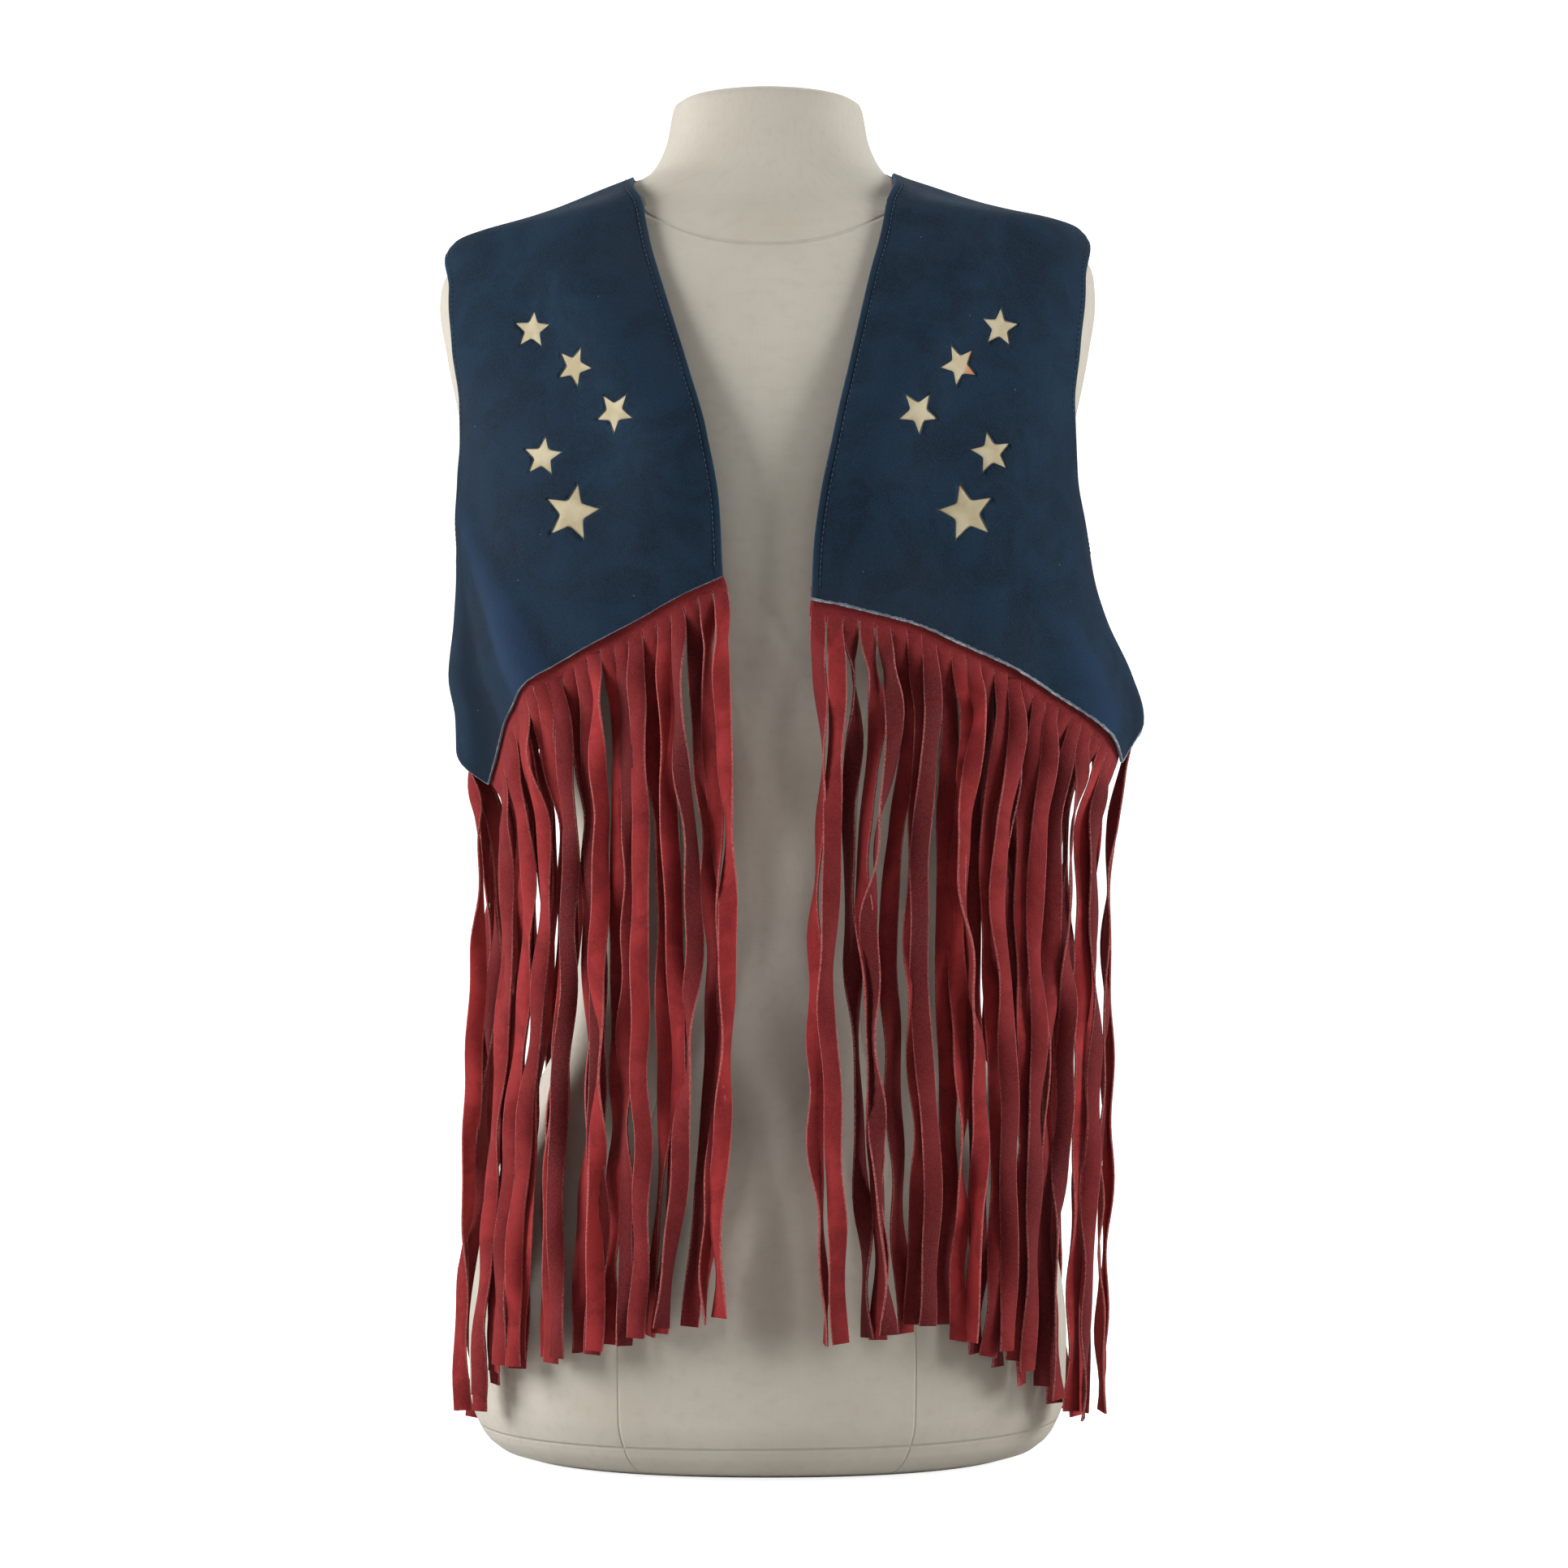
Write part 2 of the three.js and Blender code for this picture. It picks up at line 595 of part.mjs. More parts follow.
// The middle of a strand, its half width and its half thickness, at a share of the way down.
function strandSection(strand, root, endZ, pitch, share) {
  const z = root.z + (endZ - root.z) * share;
  const middle = drapePoint(root.angle, z);
  const along = drapePoint(root.angle + 0.02, z).sub(drapePoint(root.angle - 0.02, z)).setZ(0).normalize();
  const out = new THREE.Vector3(along.y, -along.x, 0);
  const free = smooth(share / IN_LAYER_FROM);
  const room = Math.max(0, Math.min(SWAY, (LAYERS.length * pitch - STRAND_WIDTH) / 2 - 1));
  const phase = chance(strand, 1) * 2 * Math.PI;
  const waves = 0.7 + chance(strand, 2) * 1.1;
  const sway = Math.sin(phase + share * waves * 2 * Math.PI) - Math.sin(phase);
  const lean = (chance(strand, 3) - 0.5) * 2;
  const sideways = room * (0.3 * sway + 0.4 * lean * share);
  const turns = chance(strand, 4) * 7 + share * (2 + 4 * chance(strand, 5));
  const twist = radians(TWIST) * free * Math.sin(turns);
  const stripMiddle = SEAT_GAP - STRIP_GAP - STRIP_THICKNESS / 2;
  const layer = LAYERS[strand % LAYERS.length] * free;
  middle.addScaledVector(along, sideways).addScaledVector(out, stripMiddle + layer);
  const between = Math.max(2, Math.min(STRAND_WIDTH, pitch - 2 * CUT_WIDTH));
  const widened = smooth((share - STRAND_STEPS[0]) / (FULL_WIDTH_FROM - STRAND_STEPS[0]));
  const width = between + (STRAND_WIDTH - between) * widened;
  const wide = along.clone().multiplyScalar(Math.cos(twist)).addScaledVector(out, Math.sin(twist));
  const thick = out.clone().multiplyScalar(Math.cos(twist)).addScaledVector(along, -Math.sin(twist));
  return { middle, wide: wide.multiplyScalar(width / 2), thick: thick.multiplyScalar(STRIP_THICKNESS / 2) };
}

// A strip behind the hem, cut into strands below it: one comb-shaped solid.
function fringe(places, ends, count) {
  const ruler = hemRuler(places);
  const pitch = ruler.total / count;
  const outside = SEAT_GAP - STRIP_GAP;
  const points = [];
  const faces = [];
  const column = (length) => {
    const hem = ruler.placeAt(length);
    const top = { angle: hem.angle, z: hem.z + STRIP_UNDER_HEM };
    const low = { angle: hem.angle, z: hem.z - STRIP_SHOWING };
    const first = points.length;
    points.push(clothPoint(top, outside), clothPoint(low, outside));
    points.push(clothPoint(low, outside - STRIP_THICKNESS), clothPoint(top, outside - STRIP_THICKNESS));
    return first;
  };
  let before = null;
  for (let strand = 0; strand < count; strand += 1) {
    const a = column(strand * pitch + CUT_WIDTH / 2);
    const b = column((strand + 1) * pitch - CUT_WIDTH / 2);
    if (before === null) {
      faces.push(...quad(a, a + 3, a + 2, a + 1));
    } else {
      for (let k = 0; k < 4; k += 1) {
        const m = (k + 1) % 4;
        faces.push(...quad(before + m, a + m, a + k, before + k));
      }
    }
    faces.push(...quad(a + 1, b + 1, b, a), ...quad(a, b, b + 3, a + 3), ...quad(a + 3, b + 3, b + 2, a + 2));
    const hem = ruler.placeAt((strand + 0.5) * pitch);
    const root = { angle: hem.angle, z: hem.z - STRIP_SHOWING };
    const levelPoint = (length) => drapePoint(ruler.placeAt(length).angle, hem.z);
    const levelPitch = levelPoint((strand + 1) * pitch).distanceTo(levelPoint(strand * pitch));
    const endZ = at(ends, "z", (strand + 0.5) / count, "share") + (chance(strand, 6) - 0.5) * END_VARIATION;
    let ring = [a + 1, b + 1, b + 2, a + 2];
    for (const share of STRAND_STEPS) {
      const { middle, wide, thick } = strandSection(strand, root, endZ, levelPitch, share);
      const next = [];
      for (const [w, t] of STRAND_CORNERS) {
        next.push(points.length);
        points.push(middle.clone().addScaledVector(wide, w).addScaledVector(thick, t));
      }
      for (let k = 0; k < 4; k += 1) {
        const m = (k + 1) % 4;
        faces.push(...quad(ring[k], next[k], next[m], ring[m]));
      }
      ring = next;
    }
    faces.push(...quad(...ring.reverse()));
    before = b;
  }
  faces.push(...quad(before, before + 1, before + 2, before + 3));
  return meshFrom(points, faces);
}

// The form: closed sections one over the other, with a flat base and a flat neck end.
function dressForm() {
  const points = [];
  const faces = [];
  const index = (row, column) => row * FORM_COLUMNS + (column % FORM_COLUMNS);
  FORM_SECTIONS.forEach((size, row) => {
    for (let column = 0; column < FORM_COLUMNS; column += 1) {
      const angle = (column / FORM_COLUMNS) * 2 * Math.PI;
      points.push(sectionPoint({ ...size, left: size.side, right: size.side }, angle, size.z));
    }
    if (row === 0) return;
    for (let column = 0; column < FORM_COLUMNS; column += 1) {
      const next = column + 1;
      faces.push(...quad(index(row - 1, column), index(row - 1, next), index(row, next), index(row, column)));
    }
  });
  const top = FORM_SECTIONS.length - 1;
  const base = points.length;
  points.push(new THREE.Vector3(0, 0, FORM_SECTIONS[0].z), new THREE.Vector3(0, 0, FORM_SECTIONS[top].z));
  for (let column = 0; column < FORM_COLUMNS; column += 1) {
    faces.push([base, index(0, column + 1), index(0, column)]);
    faces.push([base + 1, index(top, column), index(top, column + 1)]);
  }
  return meshFrom(points, faces);
}

const MATERIALS = {
  suede: { color: 0x1f3346, roughness: 0.95 },
  fringe: { color: 0x8a2228, roughness: 0.95 },
  star: { color: 0xcfc29a, roughness: 0.8 },
  linen: { color: 0xb3ada0, roughness: 0.9 },
};

const vest = new THREE.Group();

function addPiece(name, geometry, look) {
  const mesh = new THREE.Mesh(geometry, new THREE.MeshStandardMaterial({ ...MATERIALS[look], metalness: 0 }));
  mesh.name = name;
  vest.add(mesh);
}

function addStars(side, stars) {
  stars.forEach((star, i) => {
    const outside = SEAT_GAP + SUEDE - STAR_SUNK;
    addPiece(`star_${side}_${i + 1}`, starSolid(star, PIECE_GAP, outside - STAR_THICKNESS, outside), "star");
  });
}

const frontPlaces = (hem) => hem.map((row) => ({ angle: angleAtX(row.x, row.z), z: row.z }));

function backFringePlaces() {
  const places = [];
  for (let share = 0; share <= 1; share += 0.05) {
    const z = at(BACK_HEM, "z", share, "share");
    const size = clothSize(z);
    const skipped = Math.asin((BACK_FRINGE_FROM_SEAM / size.back) ** (size.power / 2));
    places.push({ angle: Math.PI / 2 + skipped + (Math.PI - 2 * skipped) * share, z });
  }
  return places;
}

addPiece("dress_form", dressForm(), "linen");
addPiece("front_right", frontPanel("right", FRONT_EDGE_RIGHT, HEM_RIGHT, STARS_RIGHT), "suede");
addPiece("front_left", frontPanel("left", FRONT_EDGE_LEFT, HEM_LEFT, STARS_LEFT), "suede");
addPiece("back", backPanel(), "suede");
addStars("right", STARS_RIGHT);
addStars("left", STARS_LEFT);
addPiece("fringe_right", fringe(frontPlaces(HEM_RIGHT).reverse(), ENDS_RIGHT, STRANDS.right), "fringe");
addPiece("fringe_left", fringe(frontPlaces(HEM_LEFT), ENDS_LEFT, STRANDS.left), "fringe");
addPiece("fringe_back", fringe(backFringePlaces(), ENDS_BACK, STRANDS.back), "fringe");

export default vest;
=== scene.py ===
# %% [markdown]
# A fringed suede vest on a dress form.
#
# The vest is three pieces of blue suede, two fronts and a back, that hang from the shoulders of a form.
# A strip of red suede is sewn under each hem and cut into long strands. Stars are cut out of the fronts,
# with cream leather behind them. We start with the fixed frame, because everything is placed from it.

import math

import bmesh
import bpy
import numpy as np
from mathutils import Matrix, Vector


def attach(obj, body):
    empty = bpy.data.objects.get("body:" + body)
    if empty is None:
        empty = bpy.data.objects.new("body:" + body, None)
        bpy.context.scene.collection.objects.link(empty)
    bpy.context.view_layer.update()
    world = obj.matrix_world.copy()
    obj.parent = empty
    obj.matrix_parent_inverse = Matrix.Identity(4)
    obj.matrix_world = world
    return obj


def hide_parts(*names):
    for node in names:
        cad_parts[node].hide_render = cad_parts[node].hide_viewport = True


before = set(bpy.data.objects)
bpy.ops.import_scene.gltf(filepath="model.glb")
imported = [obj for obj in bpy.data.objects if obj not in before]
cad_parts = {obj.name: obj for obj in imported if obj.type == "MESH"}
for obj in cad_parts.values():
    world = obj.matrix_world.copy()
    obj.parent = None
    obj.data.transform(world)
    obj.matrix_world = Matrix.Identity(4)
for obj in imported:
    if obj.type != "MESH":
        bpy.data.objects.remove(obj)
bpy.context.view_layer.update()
MM = 0.001
print("frame nodes:", len(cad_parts))

# %% [markdown]
# The camera comes first. The photo looks level at the front from nearly two metres away, and its middle row
# lies near half the object's height.

# %% Camera
CAMERA_DISTANCE = 1.75  # metres in front of the form's middle
CAMERA_HEIGHT = 0.392
CAMERA_SIDE = 0.0096
SENSOR = 36.0
METRES_ACROSS = 0.9274  # the width that the photo takes in at the form's middle


def add_object(name, data):
    """A new object in the scene."""
    made = bpy.data.objects.new(name, data)
    bpy.context.scene.collection.objects.link(made)
    return made


camera = add_object("camera", bpy.data.cameras.new("camera"))
camera.data.sensor_width = SENSOR
camera.data.lens = SENSOR * CAMERA_DISTANCE / METRES_ACROSS
camera.location = (CAMERA_SIDE, -CAMERA_DISTANCE, CAMERA_HEIGHT)
camera.rotation_euler = (math.pi / 2, 0, 0)
bpy.context.scene.camera = camera
print("lens", round(camera.data.lens, 1), "mm")

# %% [markdown]
# Studio light is made with large soft lamps. In the photo the neck and the base are bright, and the form
# between the two fronts is dark, so the light comes from both sides: the fronts shade what lies between
# them. A weak lamp in front keeps the folds readable, and one behind draws the edge of the shoulders. The
# surroundings are white to the camera only. As light they are weak, or they would fill the shade.

# %% Lamps and surroundings
LAMPS = [  # name, place, height that it faces, size, watts
    ("left_side", (-1.95, -0.7, 1.05), 0.42, 1.1, 51), ("right_side", (1.95, -0.7, 1.0), 0.42, 1.1, 38),
    ("front", (0.2, -1.6, 2.2), 0.4, 1.2, 2.5), ("back", (0.1, 0.9, 1.9), 0.6, 1.2, 16),
]
WORLD_LIGHT = 0.05

bpy.context.scene.view_settings.view_transform = "Standard"
for name, place, aim, size, power in LAMPS:
    data = bpy.data.lights.new(name, "AREA")
    data.size = size
    data.energy = power
    lamp = add_object(name, data)
    lamp.location = place
    lamp.rotation_euler = Vector(np.subtract((0, 0, aim), place)).to_track_quat("-Z", "Y").to_euler()

world = bpy.data.worlds.new("studio")
bpy.context.scene.world = world
world.use_nodes = True
sky = world.node_tree
background = sky.nodes["Background"].inputs
background["Color"].default_value = (1, 1, 1, 1)
seen = sky.nodes.new("ShaderNodeLightPath").outputs["Is Camera Ray"]
strength = sky.nodes.new("ShaderNodeMapRange")
strength.inputs["To Min"].default_value = WORLD_LIGHT
sky.links.new(seen, strength.inputs["Value"])
sky.links.new(strength.outputs[0], background["Strength"])
print("lamps:", len(LAMPS))

# %% [markdown]
# The floor is a pale sheet that curves up behind the object in a quarter circle, so no horizon shows.

# %% Backdrop
HALF_WIDTH = 8.0
FLOOR_FROM, FLOOR_TO, WALL_TOP = -10.0, 1.4, 9.0
BEND = 1.2  # radius where the floor turns up
BEND_STEPS = 16
UNDER_BASE = 0.0005  # keeps the sheet just below the form's base

line = [(FLOOR_FROM, 0.0), (FLOOR_TO, 0.0)]
for turn in np.linspace(0, math.pi / 2, BEND_STEPS + 1)[1:]:
    line.append((FLOOR_TO + BEND * math.sin(turn), BEND * (1 - math.cos(turn))))
line.append((FLOOR_TO + BEND, WALL_TOP))
points = [(x, y, z - UNDER_BASE) for y, z in line for x in (-HALF_WIDTH, HALF_WIDTH)]
data = bpy.data.meshes.new("backdrop")
data.from_pydata(points, [], [(2 * i, 2 * i + 1, 2 * i + 3, 2 * i + 2) for i in range(len(line) - 1)])
data.shade_smooth()
paper = bpy.data.materials.new("backdrop_paper")
paper.use_nodes = True
shader = paper.node_tree.nodes["Principled BSDF"].inputs
shader["Base Color"].default_value = (0.62, 0.62, 0.61, 1)
shader["Roughness"].default_value = 0.9
shader["Emission Color"].default_value = (0.86, 0.86, 0.86, 1)
seen = paper.node_tree.nodes.new("ShaderNodeLightPath").outputs["Is Camera Ray"]
paper.node_tree.links.new(seen, shader["Emission Strength"])
data.materials.append(paper)
add_object("backdrop", data)
print("backdrop made")

# %% [markdown]
# Every piece of the vest follows one surface. It is written down as level sections, like the sizes that a
# maker takes at shoulder, bust and hip: how far the surface reaches right, left, front and back at a
# height, and how square its corner is (2 is an ellipse). Sizes here are in millimetres.

# %% Sections of the form and of the hanging cloth
FORM_SECTIONS = [  # height, side, front, back, power
    (0, 146, 78, 84, 2.2), (4, 158, 88, 94, 2.2), (14, 168, 97, 104, 2.25), (34, 175, 103, 110, 2.3),
    (70, 176, 105, 112, 2.3), (120, 170, 104, 111, 2.3), (165, 159, 101, 108, 2.25),
    (205, 141, 95, 101, 2.2), (247, 121, 87, 91, 2.15), (285, 112, 81, 81, 2.1), (318, 109, 78, 76, 2.1),
    (350, 111, 78, 74, 2.1), (400, 118, 82, 75, 2.1), (450, 131, 90, 79, 2.15), (500, 147, 102, 87, 2.2),
    (540, 161, 112, 94, 2.25), (575, 173, 118, 100, 2.3), (610, 182, 115, 105, 2.35),
    (645, 189, 106, 108, 2.4), (675, 193, 96, 106, 2.4), (690, 192, 89, 102, 2.35), (702, 187, 84, 97, 2.25),
    (715, 180, 78, 90, 2.15), (718.5, 171, 75.5, 87, 2.1), (722, 154, 73, 83.5, 2.05),
    (728, 129, 69.5, 79, 2), (737, 103, 66, 73.5, 2), (743.5, 83, 63, 69, 2), (749.5, 71, 61, 64.5, 2),
    (760, 63.5, 58, 58, 2), (772, 59, 56, 54, 2), (786, 56.5, 54.5, 52, 2), (791, 55, 53, 50.5, 2),
    (793, 52, 50, 47.5, 2),
]
SEATED_FROM, SEATED_TO = 600, 750  # between these heights the vest lies on the form
HANGING_SECTIONS = [  # height, right, left, front, back, power
    (0, 187, 201, 121, 127, 2.25), (60, 187, 201, 121, 127, 2.25), (120, 183, 201, 120, 126, 2.25),
    (200, 177, 202, 117, 120, 2.25), (300, 172, 203, 114, 114, 2.2), (370, 174, 207, 112, 111, 2.2),
    (400, 180, 214, 112, 110, 2.2), (431, 181, 219, 112, 110, 2.2), (455, 185, 212, 113, 110, 2.2),
    (487, 182, 197, 115, 109, 2.2), (513, 181, 189, 116, 108, 2.25), (543, 182, 184.5, 117.5, 107, 2.3),
    (570, 180.5, 181, 118.5, 105.5, 2.3),
]
NECK_SECTIONS = [(757, 69, 69, 60, 66, 2), (768, 68, 68, 57, 65, 2), (780, 68, 68, 57, 65, 2)]
BRIDGE = {"from": 700, "to": 730, "side": 3, "back": 4}  # round the shoulders the suede stands off


def seated(z, side, front, back, power):
    """A section of the form as the vest lies on it."""
    if BRIDGE["from"] < z < BRIDGE["to"]:
        side, back = side + BRIDGE["side"], back + BRIDGE["back"]
    return z, side, side, front, back, power


SEATED_SECTIONS = [seated(*row) for row in FORM_SECTIONS if SEATED_FROM <= row[0] <= SEATED_TO]
CLOTH_SECTIONS = HANGING_SECTIONS + SEATED_SECTIONS + NECK_SECTIONS
SEAT_GAP = 1.5
SUEDE = 1.8
print("cloth sections:", len(CLOTH_SECTIONS))

# %% [markdown]
# Between two sections the sizes change smoothly and never overshoot, so a waist stays as narrow as it was
# measured. Numpy works out many points at once, which keeps fine meshes quick.


# %% Smooth lines through the sections
def smooth_line(places, values):
    """A function of place that passes through the values and never overshoots them."""
    x = np.asarray(places, float)
    y = np.asarray(values, float)
    step = np.diff(x)
    slope = np.diff(y) / step
    tangent = np.zeros(len(x))
    tangent[0], tangent[-1] = slope[0], slope[-1]
    before, after = slope[:-1], slope[1:]
    rising = before * after > 0
    tangent[1:-1][rising] = (2 * before * after)[rising] / (before + after)[rising]

    def value(place):
        p = np.clip(place, x[0], x[-1])
        i = np.clip(np.searchsorted(x, p, side="right") - 1, 0, len(step) - 1)
        h = step[i]
        t = (p - x[i]) / h
        low = y[i] * (1 + 2 * t) * (1 - t) ** 2 + tangent[i] * h * t * (1 - t) ** 2
        return low + y[i + 1] * t * t * (3 - 2 * t) - tangent[i + 1] * h * t * t * (1 - t)

    return value


def columns(rows):
    """One smooth line for each column after the first, by height."""
    heights, *sizes = zip(*rows)
    return [smooth_line(heights, size) for size in sizes]


def signed_power(value, power):
    return np.sign(value) * np.abs(value) ** power


def smoothstep(t):
    t = np.clip(t, 0, 1)
    return t * t * (3 - 2 * t)


form_size, cloth_size = columns(FORM_SECTIONS), columns(CLOTH_SECTIONS)
RIGHT_DROP = 7.4  # how much lower the tip of the wearer's right shoulder is
DROP_ACROSS, DROP_UP = (60, 125), (640, 65)  # where the drop starts, and how far on it is full


def section_points(right, left, front, back, power, angle, z):
    """Points of level sections. The angle is 0 at the front and grows towards +X."""
    side = np.where(np.sin(angle) > 0, left, right)
    depth = np.where(np.cos(angle) > 0, front, back)
    x = side * signed_power(np.sin(angle), 2 / power)
    y = -depth * signed_power(np.cos(angle), 2 / power)
    outer = smoothstep((-x - DROP_ACROSS[0]) / DROP_ACROSS[1])
    drop = RIGHT_DROP * outer * smoothstep((z - DROP_UP[0]) / DROP_UP[1])
    return np.stack(np.broadcast_arrays(x, y, z - drop), -1), side, depth


print("waist half width", round(float(form_size[0](318)), 1), "mm")

# %% [markdown]
# Suede hangs in a few broad soft folds, not in many small ones. Each row of the table is one fold: the
# angles where it starts and ends, its upper and lower height, its half width in degrees and how far it
# stands out. The largest are the ones that the photo shows; the back has plainer ones of its own. The
# shadows beside the two front edges show that they stand well off the form, so they are lifted too.

# %% Folds and the cloth's surface
FOLDS = [  # angle at the top, angle at the bottom, upper height, lower height, half width, rise
    (-54, -43, 530, 440, 6, 3.2), (-72, -66, 520, 395, 9, -4.5), (52, 56, 530, 430, 9, 3),
    (72, 76, 510, 420, 8, -3), (118, 122, 560, 425, 9, 3), (165, 158, 600, 425, 8, -2.5),
    (202, 206, 540, 425, 10, 3), (238, 242, 520, 420, 8, -3),
]
EDGE_LIFTS = [(-48, -13, 830, 580, 10, 17), (48, 13, 830, 580, 10, 16)]
CORNER_FOLD = [(-88, -41, 620, 445, 5, 7), (-96, -60, 600, 420, 7, -5)]  # runs to the hem's bend
CREASES = [  # small soft ones, in the same columns
    (-38, -27, 560, 470, 5, 1.4), (-80, -74, 640, 560, 4, -1.1), (30, 38, 570, 480, 5, 1.4),
    (66, 58, 640, 540, 4, -1.1), (-60, -66, 700, 640, 5, 1.0), (58, 66, 705, 640, 5, -1.0),
    (50, 60, 560, 440, 6, 2.2), (140, 136, 690, 560, 6, 1.0), (176, 181, 680, 520, 7, -1.0),
    (222, 228, 690, 580, 6, 1.0), (185, 190, 500, 430, 5, 1.2), (148, 142, 500, 430, 5, -1.2),
]
HANGING_FOLDS = FOLDS + EDGE_LIFTS + CORNER_FOLD
ALL_FOLDS = HANGING_FOLDS + CREASES
FIRST_DEGREE = -110  # angles are counted up from here, where no fold crosses
FOLD_FADE = 90  # millimetres under its lower height in which a fold ends
SMALL_TURN, SMALL_RISE = 0.01, 0.8  # steps for measuring how the surface lies


def fold_rise(angle, z, rows):
    """How far the folds of a table push the cloth out."""
    degrees = np.mod(np.degrees(angle) - FIRST_DEGREE, 360) + FIRST_DEGREE
    rise = np.zeros(np.broadcast(angle, z).shape)
    for top, bottom, high, low, half, height in rows:
        down = np.clip((high - z) / (high - low), 0, 1)
        middle = top + (bottom - top) * down
        fade = 1 - smoothstep((low - z) / FOLD_FADE)
        rise += height * smoothstep(down) * fade * np.exp(-(((degrees - middle) / half) ** 2))
    return rise


def drape(angle, z, rows=HANGING_FOLDS):
    """Points on the cloth's surface, folds included."""
    angle, z = np.broadcast_arrays(np.asarray(angle, float), np.asarray(z, float))
    right, left, front, back, power = (size(z) for size in cloth_size)
    points, side, depth = section_points(right, left, front, back, power, angle, z)
    reaches = enumerate((side, depth))
    out = np.stack([signed_power(points[..., k] / reach, power - 1) / reach for k, reach in reaches])
    points[..., :2] += np.moveaxis(fold_rise(angle, z, rows) * out / np.hypot(*out), 0, -1)
    return points


def unit(vectors):
    return vectors / np.linalg.norm(vectors, axis=-1, keepdims=True)


def drape_normal(angle, z, rows=HANGING_FOLDS):
    around = drape(angle + SMALL_TURN, z, rows) - drape(angle - SMALL_TURN, z, rows)
    up = drape(angle, z + SMALL_RISE, rows) - drape(angle, z - SMALL_RISE, rows)
    return unit(np.cross(around, up))


def cloth(angle, z, out, rows=HANGING_FOLDS):
    """Points a distance out from the cloth's surface."""
    return drape(angle, z, rows) + drape_normal(angle, z, rows) * np.asarray(out, float)[..., None]


def angle_at_x(x, z):
    """The angle on the front half where the surface has a given x."""
    right, left, _, _, power = (size(z) for size in cloth_size)
    share = np.clip(np.abs(x) / np.where(np.asarray(x) > 0, left, right), 0, 1)
    return np.sign(x) * np.arcsin(share ** (power / 2))


print("folds:", len(FOLDS), "creases:", len(CREASES))

# %% [markdown]
# A panel of the vest is cut from flat suede, so its outline is a few smooth lines: front edge, hem, side
# seam, armhole and shoulder. We write each line as a few measured points, draw a smooth curve through
# them, and fill the space between four such curves with a grid that takes its shape from all of them.

# %% Smooth outlines and the grid between them
REACH = 150  # turns an angle into a length, so that steps along a line are even
CURVE_STEPS = 60  # fine steps between two points, before they are spaced evenly


def spaced(places, steps):
    """Evenly spaced places (angle, height) on a smooth line through others."""
    line = np.array(places, float) * (REACH, 1)
    line = np.vstack([2 * line[0] - line[1], line, 2 * line[-1] - line[-2]])
    t = np.linspace(0, 1, CURVE_STEPS + 1)[1:, None]
    fine = [line[1]]
    for a, b, c, d in zip(line, line[1:], line[2:], line[3:]):
        ab, bc, cd = (max(np.linalg.norm(step) ** 0.5, 1e-4) for step in (b - a, c - b, d - c))
        leave = ((b - a) / ab - (c - a) / (ab + bc) + (c - b) / bc) * bc
        arrive = ((c - b) / bc - (d - b) / (bc + cd) + (d - c) / cd) * bc
        curve = b + leave * t + (3 * (c - b) - 2 * leave - arrive) * t**2
        fine.extend(curve + (2 * (b - c) + leave + arrive) * t**3)
    fine = np.array(fine)
    lengths = np.concatenate([[0], np.cumsum(np.linalg.norm(np.diff(fine, axis=0), axis=1))])
    even = np.linspace(0, lengths[-1], steps + 1)
    return np.stack([np.interp(even, lengths, fine[:, k]) / (REACH, 1)[k] for k in (0, 1)], -1)


def joined(*runs):
    """Runs of places as one line; each starts where the one before ends."""
    return np.concatenate([run if i == 0 else run[1:] for i, run in enumerate(runs)])


def grid_between(foot, head, start, end):
    """A grid of places between four edges: foot and head run along, start and end run up."""
    u = np.linspace(0, 1, len(foot))[:, None, None]
    v = np.linspace(0, 1, len(start))[None, :, None]
    sides = (1 - v) * foot[:, None] + v * head[:, None] + (1 - u) * start[None] + u * end[None]
    low = (1 - u) * foot[0] + u * foot[-1]
    high = (1 - u) * head[0] + u * head[-1]
    return sides - (1 - v) * low - v * high


def grid_faces(across, upward, first=0, flip=False):
    """Four-sided faces over a grid of points that is stored column by column."""
    faces = []
    for i in range(across - 1):
        for a in range(first + i * upward, first + (i + 1) * upward - 1):
            face = (a, a + upward, a + upward + 1, a + 1)
            faces.append(face[::-1] if flip else face)
    return faces


def add_mesh(name, points, faces, edges=()):
    """A smooth-shaded object from points in millimetres."""
    data = bpy.data.meshes.new(name)
    data.from_pydata((np.asarray(points) * MM).tolist(), edges, faces)
    data.shade_smooth()
    return add_object(name, data)


def wall(name, inner, outer, flip=False):
    """A closed thin wall between two grids of points."""
    across, upward = inner.shape[:2]
    count = across * upward
    faces = grid_faces(across, upward, count, flip) + grid_faces(across, upward, 0, not flip)
    rim = list(range(0, count - upward, upward)) + list(range(count - upward, count - 1))
    rim += list(range(count - 1, upward - 1, -upward)) + list(range(upward - 1, 0, -1))
    for a, b in zip(rim, rim[1:] + rim[:1]):
        face = (a, b, b + count, a + count)
        faces.append(face[::-1] if flip else face)
    return add_mesh(name, np.concatenate([inner.reshape(-1, 3), outer.reshape(-1, 3)]), faces)


def lines_object(name, lines):
    """An object of several plain lines of any length."""
    points, pairs = [], []
    for line in lines:
        first = len(points)
        points += line.tolist()
        pairs += [(k, k + 1) for k in range(first, len(points) - 1)]
    return add_mesh(name, points, [], pairs)


def add_values(piece, name, values):
    """Stores one number for each point of a piece."""
    layer = piece.data.attributes.new(name, "FLOAT", "POINT")
    layer.data.foreach_set("value", np.asarray(values, np.float32).ravel())


